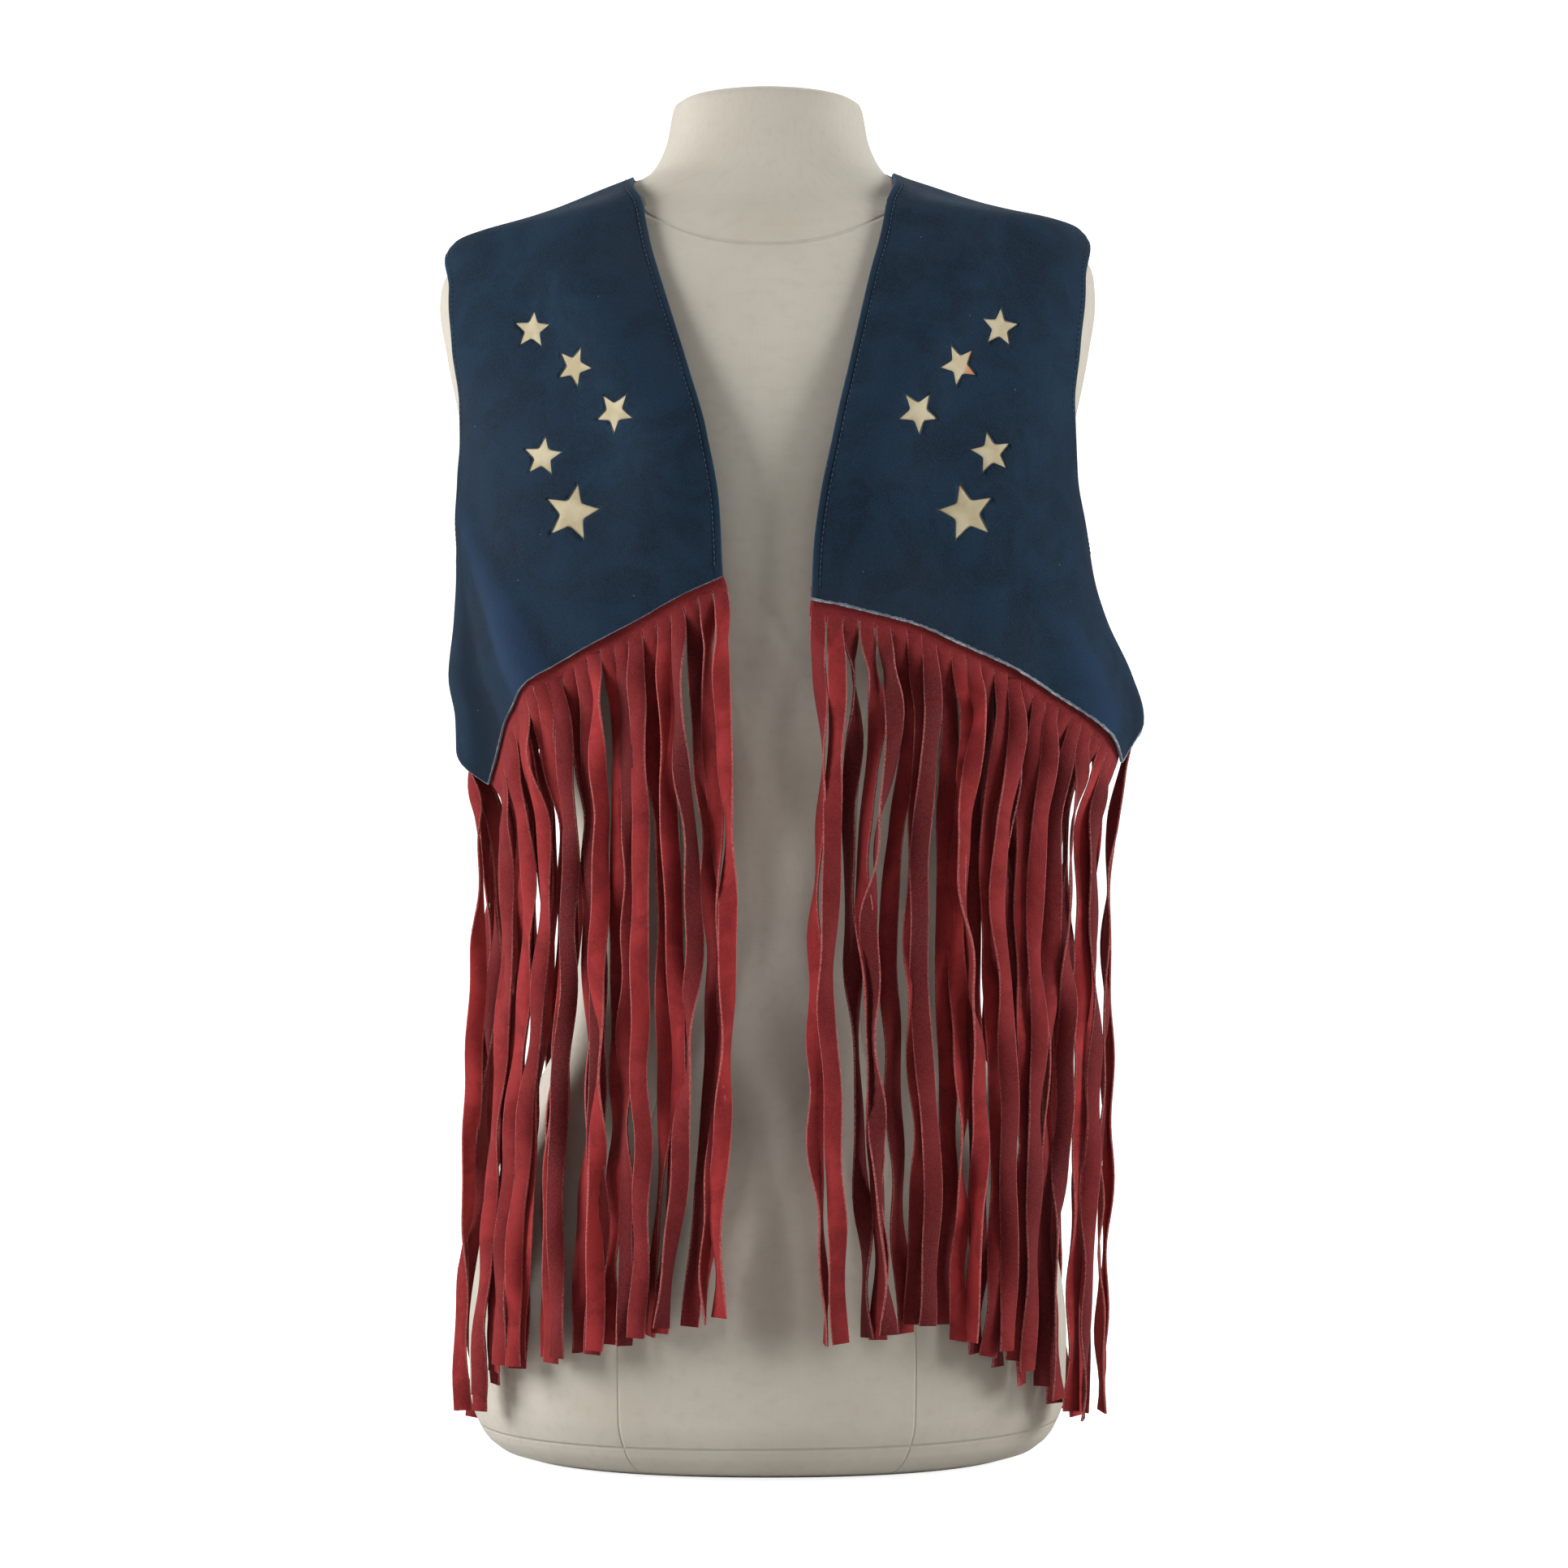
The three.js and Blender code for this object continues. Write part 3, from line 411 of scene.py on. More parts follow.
def add_uv(piece, name, per_point):
    """Stores a UV map from two numbers for each point."""
    index = np.empty(len(piece.data.loops), np.int32)
    piece.data.loops.foreach_get("vertex_index", index)
    layer = piece.data.uv_layers.new(name=name)
    layer.data.foreach_set("uv", np.asarray(per_point, np.float32)[index].ravel())


print("outline, grid and mesh helpers ready")

# %% [markdown]
# Geometry Nodes will make everything that repeats, and shader nodes every surface. Each Geometry Nodes tree
# is built here in the script and used like a small tool: it takes a plain mesh of lines, and its result is
# kept as a plain mesh. These helpers keep the trees short enough to read.


# %% Helpers for node trees
def place_node(tree, kind, inputs=None, **settings):
    """Adds a node. Inputs are by name or number; a socket is joined and anything else is a value."""
    node = tree.nodes.new(kind)
    for key, value in settings.items():
        setattr(node, key, value)
    for key, value in (inputs or {}).items():
        if isinstance(value, bpy.types.NodeSocket):
            tree.links.new(value, node.inputs[key])
        else:
            node.inputs[key].default_value = value
    return node


def put(tree, kind, inputs=None, **settings):
    """Adds a node and gives its first output."""
    return place_node(tree, kind, inputs, **settings).outputs[0]


def send(tree, sockets, values):
    """Joins values to the sockets with their names."""
    for name, value in values.items():
        tree.links.new(value, sockets[name])


def new_tree(name, kind, inputs, outputs):
    """A node group. An input with no value has the name of its type, or is the lines to work on."""
    tree = bpy.data.node_groups.new(name, kind)
    for label, value in inputs.items():
        sort = "Geometry" if label == "Lines" else label
        if value is not None:
            sort = "Int" if isinstance(value, int) else "Float"
        socket = tree.interface.new_socket(name=label, in_out="INPUT", socket_type="NodeSocket" + sort)
        if value is not None:
            socket.default_value = value
    sort = "Geometry" if kind == "GeometryNodeTree" else "Float"
    for label in outputs:
        tree.interface.new_socket(name=label, in_out="OUTPUT", socket_type="NodeSocket" + sort)
    return tree, tree.nodes.new("NodeGroupInput").outputs, tree.nodes.new("NodeGroupOutput").inputs


def finish_tree(tree, body, given, result):
    """Ends a Geometry Nodes tree: a real mesh with its material."""
    body = put(tree, "GeometryNodeRealizeInstances", {"Geometry": body})
    body = put(tree, "GeometryNodeSetMaterial", {"Geometry": body, "Material": given["Material"]})
    tree.links.new(body, result[0])
    tree.is_modifier = True
    print(tree.name, "tree has", len(tree.nodes), "nodes")
    return tree


def plain_mesh(source, name):
    """The evaluated shape of an object as a plain object; the source is removed."""
    bpy.context.view_layer.update()
    graph = bpy.context.evaluated_depsgraph_get()
    data = bpy.data.meshes.new_from_object(
        source.evaluated_get(graph), preserve_all_data_layers=True, depsgraph=graph
    )
    bpy.data.objects.remove(source)
    data.name = name
    return add_object(name, data)


def run_tree(source, tree, name, values):
    """Runs a Geometry Nodes tree on an object and keeps the result."""
    modifier = source.modifiers.new("make", "NODES")
    modifier.node_group = tree
    for item in tree.interface.items_tree:
        if item.in_out == "INPUT" and item.name in values:
            modifier[item.identifier] = values[item.name]
    made = plain_mesh(source, name)
    made.data.shade_smooth()
    return made


def srgb(red, green, blue):
    """A colour as a painter reads it from a screen (0 to 255), as linear light."""
    return tuple(((c / 255 + 0.055) / 1.055) ** 2.4 for c in (red, green, blue)) + (1.0,)


def painted(tree, ground, *layers):
    """Colours over each other. A layer is how much of it shows, and its red, green and blue."""
    if not isinstance(ground, bpy.types.NodeSocket):
        ground = srgb(*ground)
    for factor, *colour in layers:
        mix = place_node(tree, "ShaderNodeMix", {0: factor, 6: ground, 7: srgb(*colour)}, data_type="RGBA")
        ground = mix.outputs[2]
    return ground


def spread(tree, value, low, high, from_low=0.0, from_high=1.0):
    """A value moved from one range to another and kept inside it."""
    ends = {0: value, 1: from_low, 2: from_high, 3: low, 4: high}
    return put(tree, "ShaderNodeMapRange", ends, interpolation_type="SMOOTHSTEP")


def sums(tree, operation, *values):
    """The result of a Math node."""
    return put(tree, "ShaderNodeMath", dict(enumerate(values)), operation=operation)


def product(tree, first, second):
    return sums(tree, "MULTIPLY", first, second)


def noise(tree, where, scale, detail, **more):
    return put(tree, "ShaderNodeTexNoise", {"Vector": where, "Scale": scale, "Detail": detail, **more})


def bump(tree, height, strength, distance, **more):
    values = {"Height": height, "Strength": strength, "Distance": distance}
    return put(tree, "ShaderNodeBump", {**values, **more})


def stored(tree, *names):
    """Sockets with numbers that the points of a piece store."""
    return [place_node(tree, "ShaderNodeAttribute", attribute_name=name).outputs["Fac"] for name in names]


def use_group(tree, group, inputs):
    """Places a node group in a tree."""
    return place_node(tree, "ShaderNodeGroup", inputs, node_tree=group).outputs


def new_material(name, **constants):
    """A material, its tree, its shader's inputs with constant values set, and where on the object it is."""
    made = bpy.data.materials.new(name)
    made.use_nodes = True
    tree = made.node_tree
    inputs = tree.nodes["Principled BSDF"].inputs
    for key, value in constants.items():
        inputs[key.replace("_", " ")].default_value = value
    return made, tree, inputs, place_node(tree, "ShaderNodeTexCoord").outputs["Object"]


def finish_shader(tree, shader, base, roughness, normal):
    send(tree, shader, {"Base Color": base, "Roughness": roughness, "Normal": normal})


print("node helpers ready")

# %% [markdown]
# Suede is the brushed flesh side of a hide. What makes it look like suede is its nap: fine fibres, soft
# clouds where a hand has brushed them another way, and a few pale specks of lint. The blue and the red
# suede share that, so it is one node group with its own sizes for each material.

# %% Node group: suede nap
nap, given, result = new_tree(
    "Suede nap",
    "ShaderNodeTree",
    {"Vector": None, "Cloud size": 40.0, "Fibre size": 1300.0},
    ["Cloud", "Fibre", "Lint", "Height"],
)
clouds = noise(nap, given[0], given[1], 4.0, Roughness=0.62, Distortion=0.7)
fibres = noise(nap, given[0], given[2], 3.0, Roughness=0.7)
tufts = noise(nap, given[0], 260.0, 3.0)
flecks = place_node(nap, "ShaderNodeTexVoronoi", {"Vector": given[0], "Scale": 150.0}).outputs
near_fleck = spread(nap, flecks["Distance"], 1.0, 0.0, 0.03, 0.075)
few = sums(nap, "GREATER_THAN", put(nap, "ShaderNodeSeparateColor", {0: flecks["Color"]}), 0.93)
rough = sums(nap, "MULTIPLY_ADD", tufts, 0.8, fibres)
outputs = {
    "Cloud": spread(nap, clouds, 0.0, 1.0, 0.3, 0.7),
    "Fibre": spread(nap, fibres, 0.0, 1.0, 0.3, 0.7),
    "Lint": product(nap, near_fleck, few),
    "Height": sums(nap, "MULTIPLY_ADD", clouds, 0.7, rough),
}
send(nap, result, outputs)
print("nap group has", len(nap.nodes), "nodes")

# %% [markdown]
# The second shared effect is a line that runs beside an edge or along a seam. It takes the distance from
# that line and gives a soft groove, and a mask for the cloth close to it. The suede uses it where an edge
# is turned in and stitched, and the linen of the form uses it along its sewn seams.

# %% Node group: sewn line
sewn, given, result = new_tree(
    "Sewn line", "ShaderNodeTree", {"Distance": 0.0, "At": 0.0, "Width": 0.001}, ["Mask", "Height"]
)
away = sums(sewn, "ABSOLUTE", sums(sewn, "SUBTRACT", given[0], given[1]))
share = sums(sewn, "DIVIDE", away, given[2])
outputs = {"Mask": spread(sewn, share, 1.0, 0.0), "Height": spread(sewn, share, 0.0, 1.0, 0.1, 1.0)}
send(sewn, result, outputs)
print("sewn line group has", len(sewn.nodes), "nodes")

# %% [markdown]
# The blue suede turns slate blue where its edges are rubbed. Its fold ridges are painted lighter, a painted
# highlight with some rubbed wear, and its fold hollows nearly black, which is painted shade. Two UV maps
# tell the material where it is on the cloth. `edges` holds the distance in metres from the turned edge and
# from the hem. `surface` holds the distance from the shoulder seam, along which a lighter line is a painted
# highlight, and how far a fold lifts the cloth.

# %% Blue suede
blue, tree, shader, where = new_material(
    "blue_suede",
    Sheen_Weight=0.06,
    Sheen_Roughness=0.45,
    Sheen_Tint=srgb(110, 140, 170),
    Specular_IOR_Level=0.12,
)
maps = []
for name in ("edges", "surface"):
    pair = place_node(tree, "ShaderNodeSeparateXYZ", {0: put(tree, "ShaderNodeUVMap", uv_map=name)})
    maps += pair.outputs[:2]
turned_edge, hem, shoulder_seam, fold = maps
blue_nap = use_group(tree, nap, {"Vector": where, "Cloud size": 34.0, "Fibre size": 1200.0})
sizes = ((420.0, 3.0), (28.0, 2.0), (7.0, 2.0))
ragged, patchy, fading = (noise(tree, where, *size) for size in sizes)
groove = use_group(tree, sewn, {"Distance": turned_edge, "At": 0.0045, "Width": 0.0013})
shoulder_highlight = use_group(tree, sewn, {"Distance": shoulder_seam, "At": 0.0, "Width": 0.0024})
cut_edge = sums(tree, "LESS_THAN", hem, sums(tree, "MULTIPLY_ADD", ragged, 0.0022, 0.0001))
base = painted(
    tree,
    (14, 27, 40),
    (spread(tree, blue_nap["Cloud"], 0.1, 0.9), 29, 47, 65),
    (spread(tree, fading, 0.0, 0.5, 0.48, 0.72), 42, 45, 54),
    (product(tree, blue_nap["Fibre"], 0.42), 44, 66, 86),
    # Painted highlight on fold ridges, with some rubbed wear; the next layer is painted shade in fold
    # hollows.
    (spread(tree, fold, 0.0, 0.4, 0.1, 1.0), 48, 69, 102),
    (spread(tree, fold, 0.6, 0.0, -0.8, -0.1), 14, 24, 36),
    (spread(tree, turned_edge, 0.2, 0.0, 0.0, 0.0052), 56, 80, 102),
    (product(tree, spread(tree, turned_edge, 0.5, 0.0, 0.0, 0.0012), patchy), 84, 106, 128),
    (product(tree, groove["Mask"], 0.3), 18, 29, 42),
    # Painted highlight: a lighter teal line along the shoulder seam's ridge.
    (product(tree, shoulder_highlight["Mask"], 0.5), 84, 118, 138),
    (product(tree, cut_edge, spread(tree, patchy, 0.2, 0.9)), 150, 158, 166),
    (product(tree, blue_nap["Lint"], 0.3), 160, 170, 180),
)
rolled = product(tree, spread(tree, turned_edge, 0.0, 1.0, 0.0, 0.0045), -0.9)
relief = sums(tree, "MULTIPLY_ADD", groove["Height"], 1.2, rolled)
nap_bump = bump(tree, blue_nap["Height"], 0.45, 0.0008)
normal = bump(tree, relief, 0.8, 0.0009, Normal=nap_bump)
roughness = spread(tree, blue_nap["Cloud"], 0.84, 0.98)
finish_shader(tree, shader, base, roughness, normal)
print("blue suede has", len(tree.nodes), "nodes")

# %% [markdown]
# The red suede of the fringe differs from strand to strand: the strands fade unevenly, and each hangs turned
# to the light in its own way, whose light and shade is painted into the colour. Each strand carries one
# number for both, and `across` tells how near a point is to a cut edge, where the paler inside of the hide
# shows.

# %% Red suede
red, tree, shader, where = new_material(
    "red_suede",
    Sheen_Weight=0.3,
    Sheen_Roughness=0.5,
    Sheen_Tint=srgb(230, 120, 120),
    Specular_IOR_Level=0.2,
)
tone, across = stored(tree, "tone", "across")
red_nap = use_group(tree, nap, {"Vector": where, "Cloud size": 48.0, "Fibre size": 1300.0})
cut = spread(tree, sums(tree, "ABSOLUTE", across), 0.0, 0.85, 0.86, 0.99)
base = painted(
    tree,
    (66, 19, 24),
    # Painted light and shade of each strand's turn, mixed with its uneven fading.
    (tone, 158, 43, 45),
    (spread(tree, red_nap["Cloud"], 0.0, 0.5), 80, 21, 27),
    (product(tree, red_nap["Fibre"], 0.3), 176, 64, 62),
    (product(tree, cut, red_nap["Fibre"]), 206, 128, 124),
)
roughness = spread(tree, red_nap["Cloud"], 0.82, 0.97)
normal = bump(tree, red_nap["Height"], 0.4, 0.0006)
finish_shader(tree, shader, base, roughness, normal)
print("red suede has", len(tree.nodes), "nodes")

# %% [markdown]
# The stars show a cream grain leather that lies behind the cut-outs. It is smoother than the suede, with a
# fine pebble grain, and stained in places. Towards the rim it is painted darker, as painted shade under the
# suede's cut edge.

# %% Cream leather
cream, tree, shader, where = new_material("cream_leather", Specular_IOR_Level=0.35)
rim, stained = stored(tree, "rim", "stained")
pebbles = place_node(tree, "ShaderNodeTexVoronoi", {"Vector": where, "Scale": 1100.0}).outputs["Distance"]
blotch, stain = noise(tree, where, 60.0, 3.0), noise(tree, where, 33.0, 4.0)
base = painted(
    tree,
    (196, 183, 152),
    (spread(tree, blotch, 0.0, 1.0, 0.35, 0.65), 176, 162, 128),
    (spread(tree, stain, 0.0, 0.4, 0.6, 0.75), 200, 160, 112),
    (spread(tree, sums(tree, "MULTIPLY_ADD", stain, 0.7, stained), 0.0, 0.85, 0.85, 1.2), 186, 112, 62),
    # Painted shade: darker towards the rim, under the suede's cut edge.
    (spread(tree, rim, 0.0, 0.45, 0.82, 1.0), 110, 98, 78),
)
normal = bump(tree, pebbles, 0.3, 0.0003)
finish_shader(tree, shader, base, spread(tree, blotch, 0.55, 0.75), normal)
print("cream leather has", len(tree.nodes), "nodes")

# %% [markdown]
# The form is covered with unbleached linen, pulled tight and sewn from shaped panels. The weave is too fine
# to see from afar, but it breaks up the light, and the seams are soft grooves with a faint darker line.

# %% Linen
THREADS = 420.0  # bands in a metre of cloth
SEAM_WIDTHS = {"seam_up": 0.0011, "seam_neck": 0.0013, "seam_arm": 0.0014, "seam_base": 0.0014}

linen, tree, shader, where = new_material("linen", Sheen_Weight=0.1, Specular_IOR_Level=0.2)
thread_map = put(tree, "ShaderNodeUVMap", uv_map="weave")
bands = {"Vector": thread_map, "Scale": THREADS, "Distortion": 1.2, "Detail": 2.0, "Detail Scale": 0.4}
crossing = [place_node(tree, "ShaderNodeTexWave", bands, bands_direction=way).outputs["Fac"] for way in "XY"]
weave = sums(tree, "ADD", *crossing)
slub, soil = noise(tree, thread_map, 160.0, 4.0), noise(tree, where, 9.0, 4.0)
base = painted(
    tree,
    (208, 202, 190),
    (spread(tree, soil, 0.0, 1.0, 0.3, 0.7), 198, 191, 177),
    (spread(tree, slub, 0.0, 0.3, 0.45, 0.8), 182, 174, 158),
    (spread(tree, weave, 0.1, 0.0, 0.2, 1.4), 150, 142, 126),
)
dips = 1.0
for distance, width in zip(stored(tree, *SEAM_WIDTHS), SEAM_WIDTHS.values()):
    seam = use_group(tree, sewn, {"Distance": distance, "At": 0.0, "Width": width})
    base = painted(tree, base, (product(tree, seam["Mask"], 0.12), 136, 128, 112))
    dips = product(tree, seam["Height"], dips)
normal = bump(tree, dips, 0.7, 0.0008, Normal=bump(tree, weave, 0.15, 0.0002))
finish_shader(tree, shader, base, spread(tree, slub, 0.86, 0.98), normal)
print("linen has", len(tree.nodes), "nodes")

# %% [markdown]
# Two small materials are left: the pale thread of the stitching, and the worn, fluffy grey of suede's raw
# edge.


# %% Thread and raw edge
def fuzzy_material(name, light, dark, scale):
    """A plain fibrous material between two colours."""
    made, tree, shader, where = new_material(name, Sheen_Weight=0.2, Specular_IOR_Level=0.2)
    mottle = noise(tree, where, scale, 3.0)
    base = painted(tree, light, (spread(tree, mottle, 0.0, 1.0, 0.35, 0.65), *dark))
    roughness, normal = spread(tree, mottle, 0.85, 0.98), bump(tree, mottle, 0.4, 0.0003)
    finish_shader(tree, shader, base, roughness, normal)
    return made


thread = fuzzy_material("thread", (62, 82, 100), (44, 62, 80), 600.0)
raw_edge = fuzzy_material("raw_edge", (176, 182, 188), (104, 116, 130), 500.0)
print("thread and raw edge made")

# %% [markdown]
# The dress form is a smooth body of revolution that isn't round: at each height it has its own width and
# depth. The columns stand every 2.5 degrees, so that the seams at 25, 90, 155 and 180 degrees run exactly
# along a column. Each point also stores how far it is from the seams that the linen draws.

# %% Dress form
FORM_COLUMNS, FORM_ROWS = 144, 170
UPRIGHT_SEAMS = (25, 90, 155, 180)  # degrees from the front, on both sides
NECK_SEAM = {"front": 696, "rise": 36, "spread": 24}  # front height, rise to the side, degrees
ARM_PLATE = {"height": 640, "tall": 62, "wide": 29}  # millimetres, millimetres, degrees
BASE_SEAM, BASE_TILT = 20, 0.008
FAR = 0.05  # metres; a seam stores this or more where it doesn't show
CAP_INSET, CAP_RISE = 0.94, 0.6


def form_cover():
    """The linen cover, from the base to the flat end of the neck."""
    tops = [row[0] for row in FORM_SECTIONS]
    heights = np.unique(np.round(np.concatenate([np.linspace(0, tops[-1], FORM_ROWS), tops]), 2))
    angle = np.linspace(-math.pi, math.pi, FORM_COLUMNS + 1)[:-1]
    a, z = np.meshgrid(angle, heights, indexing="ij")
    side, front, back, power = (size(z) for size in form_size)
    body = section_points(side, side, front, back, power, a, z)[0]
    points = body.reshape(-1, 3)
    count = len(points)
    faces = [tuple(k % count for k in face) for face in grid_faces(FORM_COLUMNS + 1, len(heights))]
    foot = np.arange(FORM_COLUMNS) * len(heights)
    top = foot + len(heights) - 1
    inset = points[top] * (CAP_INSET, CAP_INSET, 1) + (0, 0, CAP_RISE)
    ring = np.arange(count, count + FORM_COLUMNS)
    faces += np.stack([top, np.roll(top, -1), np.roll(ring, -1), ring], -1).tolist()
    faces += [ring.tolist(), foot[::-1].tolist()]
    cover = add_mesh("form_cover", np.concatenate([points, inset]), faces)

    degrees = np.abs(np.degrees(a))
    upright = np.min([np.abs(degrees - place) for place in UPRIGHT_SEAMS], axis=0) * np.radians(side) * MM
    plate = np.hypot((z - ARM_PLATE["height"]) / ARM_PLATE["tall"], (degrees - 90) / ARM_PLATE["wide"]) - 1
    rise = NECK_SEAM["rise"] * (1 - np.exp(-((degrees / NECK_SEAM["spread"]) ** 2)))
    above = z - NECK_SEAM["front"] - rise
    distances = {
        "seam_up": upright + FAR * (smoothstep(-plate / 0.04) + smoothstep((above - 2) / 6)),
        "seam_neck": above * MM,
        "seam_arm": plate * ARM_PLATE["tall"] * MM,
        "seam_base": (z - BASE_SEAM - BASE_TILT * body[..., 0]) * MM,
    }
    for name, values in distances.items():
        add_values(cover, name, np.append(values, np.full(FORM_COLUMNS, FAR)))
    weave_map = np.stack([a * REACH, z], -1).reshape(-1, 2)
    add_uv(cover, "weave", np.concatenate([weave_map, inset[:, :2]]) * MM)
    cover.data.materials.append(linen)
    return cover


cover = form_cover()
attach(cover, "root")
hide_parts("dress_form")
print("form cover:", len(cover.data.polygons), "faces")

# %% [markdown]
# Now the blue pieces. A front is one grid of cloth between its front edge, hem, side seam, armhole and
# shoulder. We lay the grid on the cloth's surface twice, at the inner and the outer face, and close the
# rim between them, so the suede has its real thickness. The same measured points were used in the CAD.

# %% Measured outlines
FRONT_EDGE = {  # x and height
    "right": [
        (-24, 507), (-26, 546), (-33, 586), (-43.5, 622), (-56, 663), (-64.5, 692), (-68, 709),
        (-70.5, 723), (-73, 731), (-75, 737), (-76.8, 742), (-77.6, 744.5), (-78, 746),
    ],
    "left": [
        (24.5, 494), (25.5, 519), (29, 548), (38, 592), (46, 625), (58, 678), (63, 697), (65.5, 709),
        (68, 725), (70, 735), (71.5, 743), (72.3, 746.5), (71.5, 749),
    ],
}
HEM = {  # x and height
    "right": [
        (-24, 507), (-48, 496), (-71, 483), (-96, 470), (-116, 459), (-131, 447), (-145, 431),
        (-156, 413), (-164, 392),
    ],
    "left": [
        (24.5, 494), (41, 491), (61, 486), (81, 481), (107, 470), (138, 456), (164, 440), (186, 425),
        (203, 405),
    ],
}
BACK_HEM = [(0, 432), (0.12, 427), (0.5, 423), (0.88, 421), (1, 416)]  # share from the left seam, height
BACK_NECK = [(0, 749), (0.1, 757), (0.25, 762), (0.5, 763), (0.75, 761), (0.9, 755), (1, 746)]
SIDE_SEAM_FOOT = {"right": 416, "left": 432}
NECK_POINT = {"right": 746, "left": 749}
UNDERARM, SHOULDER_TIP = 520, 714.5
ARMHOLE = [  # height, degrees in from the side on the front, and on the back
    (524, 3, 3), (536, 7, 7), (560, 11, 12), (590, 15, 16), (625, 19, 18), (660, 22, 19), (685, 21, 17),
    (702, 13, 11),
]
PIECE_GAP = 0.3
INSIDE, OUTSIDE = SEAT_GAP, SEAT_GAP + SUEDE
FINER = 4  # steps here for each step of the CAD grid
HEM_STEPS, RETURN_STEPS, BELOW_ARM, ALONG_ARM = 11 * FINER, 3 * FINER, 6 * FINER, 17 * FINER
BACK_STEPS, NECK_STEPS = 28 * FINER, 12 * FINER
SHOULDER_STEPS = (BACK_STEPS - NECK_STEPS) // 2
EDGE_ROWS = 90
print("armhole points:", len(ARMHOLE))


# %% Grids of the fronts and the back
def place_at(x, z):
    return float(angle_at_x(x, z)), z


def mirrored(side, piece, angle):
    """An angle of the wearer's left side, turned over for the right side."""
    if side == "left":
        return angle
    return 2 * math.pi - angle if piece == "back" else -angle


def seam_place(side, piece, z):
    """The place beside a side seam that leaves half the gap between two pieces."""
    _, _, front, back, power = (size(z) for size in cloth_size)
    depth, way = (back, 1) if piece == "back" else (front, -1)
    off = np.arcsin((PIECE_GAP / 2 / depth) ** (power / 2))
    return mirrored(side, piece, float(math.pi / 2 + way * off)), z


def up_the_side(side, piece):
    """Places up a side seam and round the armhole to the shoulder's tip."""
    arm = []
    for z, on_front, on_back in ARMHOLE:
        inset = math.radians(on_back if piece == "back" else -on_front)
        arm.append((mirrored(side, piece, math.pi / 2 + inset), z))
    foot, under, tip = (seam_place(side, piece, z) for z in (SIDE_SEAM_FOOT[side], UNDERARM, SHOULDER_TIP))
    return joined(spaced([foot, under], BELOW_ARM), spaced([under, *arm, tip], ALONG_ARM))


def front_grid(side):
    """Places of one front."""
    hem = [place_at(x, z) for x, z in HEM[side]]
    seam_foot = seam_place(side, "front", SIDE_SEAM_FOOT[side])
    foot = joined(spaced(hem, HEM_STEPS), spaced([hem[-1], seam_foot], RETURN_STEPS))
    x_at = smooth_line(*zip(*[(z, x) for x, z in FRONT_EDGE[side]]))
    neck = NECK_POINT[side]
    heights = np.linspace(FRONT_EDGE[side][0][1], neck, EDGE_ROWS)
    edge = [place_at(float(x_at(z)), z) for z in heights[:-1]] + [seam_place(side, "front", neck)]
    start = spaced(edge, BELOW_ARM + ALONG_ARM)
    head = [seam_place(side, "front", z) for z in np.linspace(neck, SHOULDER_TIP, len(foot))]
    return grid_between(foot, np.array(head), start, up_the_side(side, "front"))


def back_grid():
    """Places of the back."""

    def between(rows, steps):
        places = []
        for share in np.linspace(0, 1, steps + 1):
            z = float(smooth_line(*zip(*rows))(share))
            left, right = (seam_place(side, "back", z)[0] for side in ("left", "right"))
            places.append((left + (right - left) * share, z))
        return np.array(places)

    climb, fall = (
        np.array([seam_place(side, "back", z) for z in np.linspace(SHOULDER_TIP, neck, SHOULDER_STEPS + 1)])
        for side, neck in (("left", NECK_POINT["left"]), ("right", NECK_POINT["right"]))
    )
    head = joined(climb, between(BACK_NECK, NECK_STEPS), fall[::-1])
    foot = between(BACK_HEM, BACK_STEPS)
    return grid_between(foot, head, up_the_side("left", "back"), up_the_side("right", "back"))


grids = {"right": front_grid("right"), "left": front_grid("left"), "back": back_grid()}
NODES = {"right": "front_right", "left": "front_left", "back": "back"}
print({side: grid.shape for side, grid in grids.items()})

# %% [markdown]
# A leather edge is never razor sharp, so the rim gets a small bevel before the stars are cut. The bevel
# also rolls the turned edges a little, which is what catches the light in the photo.

# %% Panel from a grid
RIM_ROUND = 0.0007
SHARP_EDGE = math.radians(50)
HEM_WEAR = {"right": 0.25, "left": 0.9, "back": 0.4}  # how far the raw hem has frayed; 1 is the most worn
FULL_FOLD = 6  # millimetres of rise that count as 1 for the material


def nearest(points, lines):
    """Distance in metres from each point to the nearest of some lines, given in millimetres."""
    t = np.linspace(0, 1, 5)[:-1, None, None]
    dense = [(line[:-1] * (1 - t) + line[1:] * t).reshape(-1, 3) for line in lines]
    dense = np.concatenate(dense + [line[-1:] for line in lines])
    parts = np.array_split(points.reshape(-1, 3), 40)
    return np.concatenate([np.linalg.norm(part[:, None] - dense, axis=-1).min(1) for part in parts]) * MM


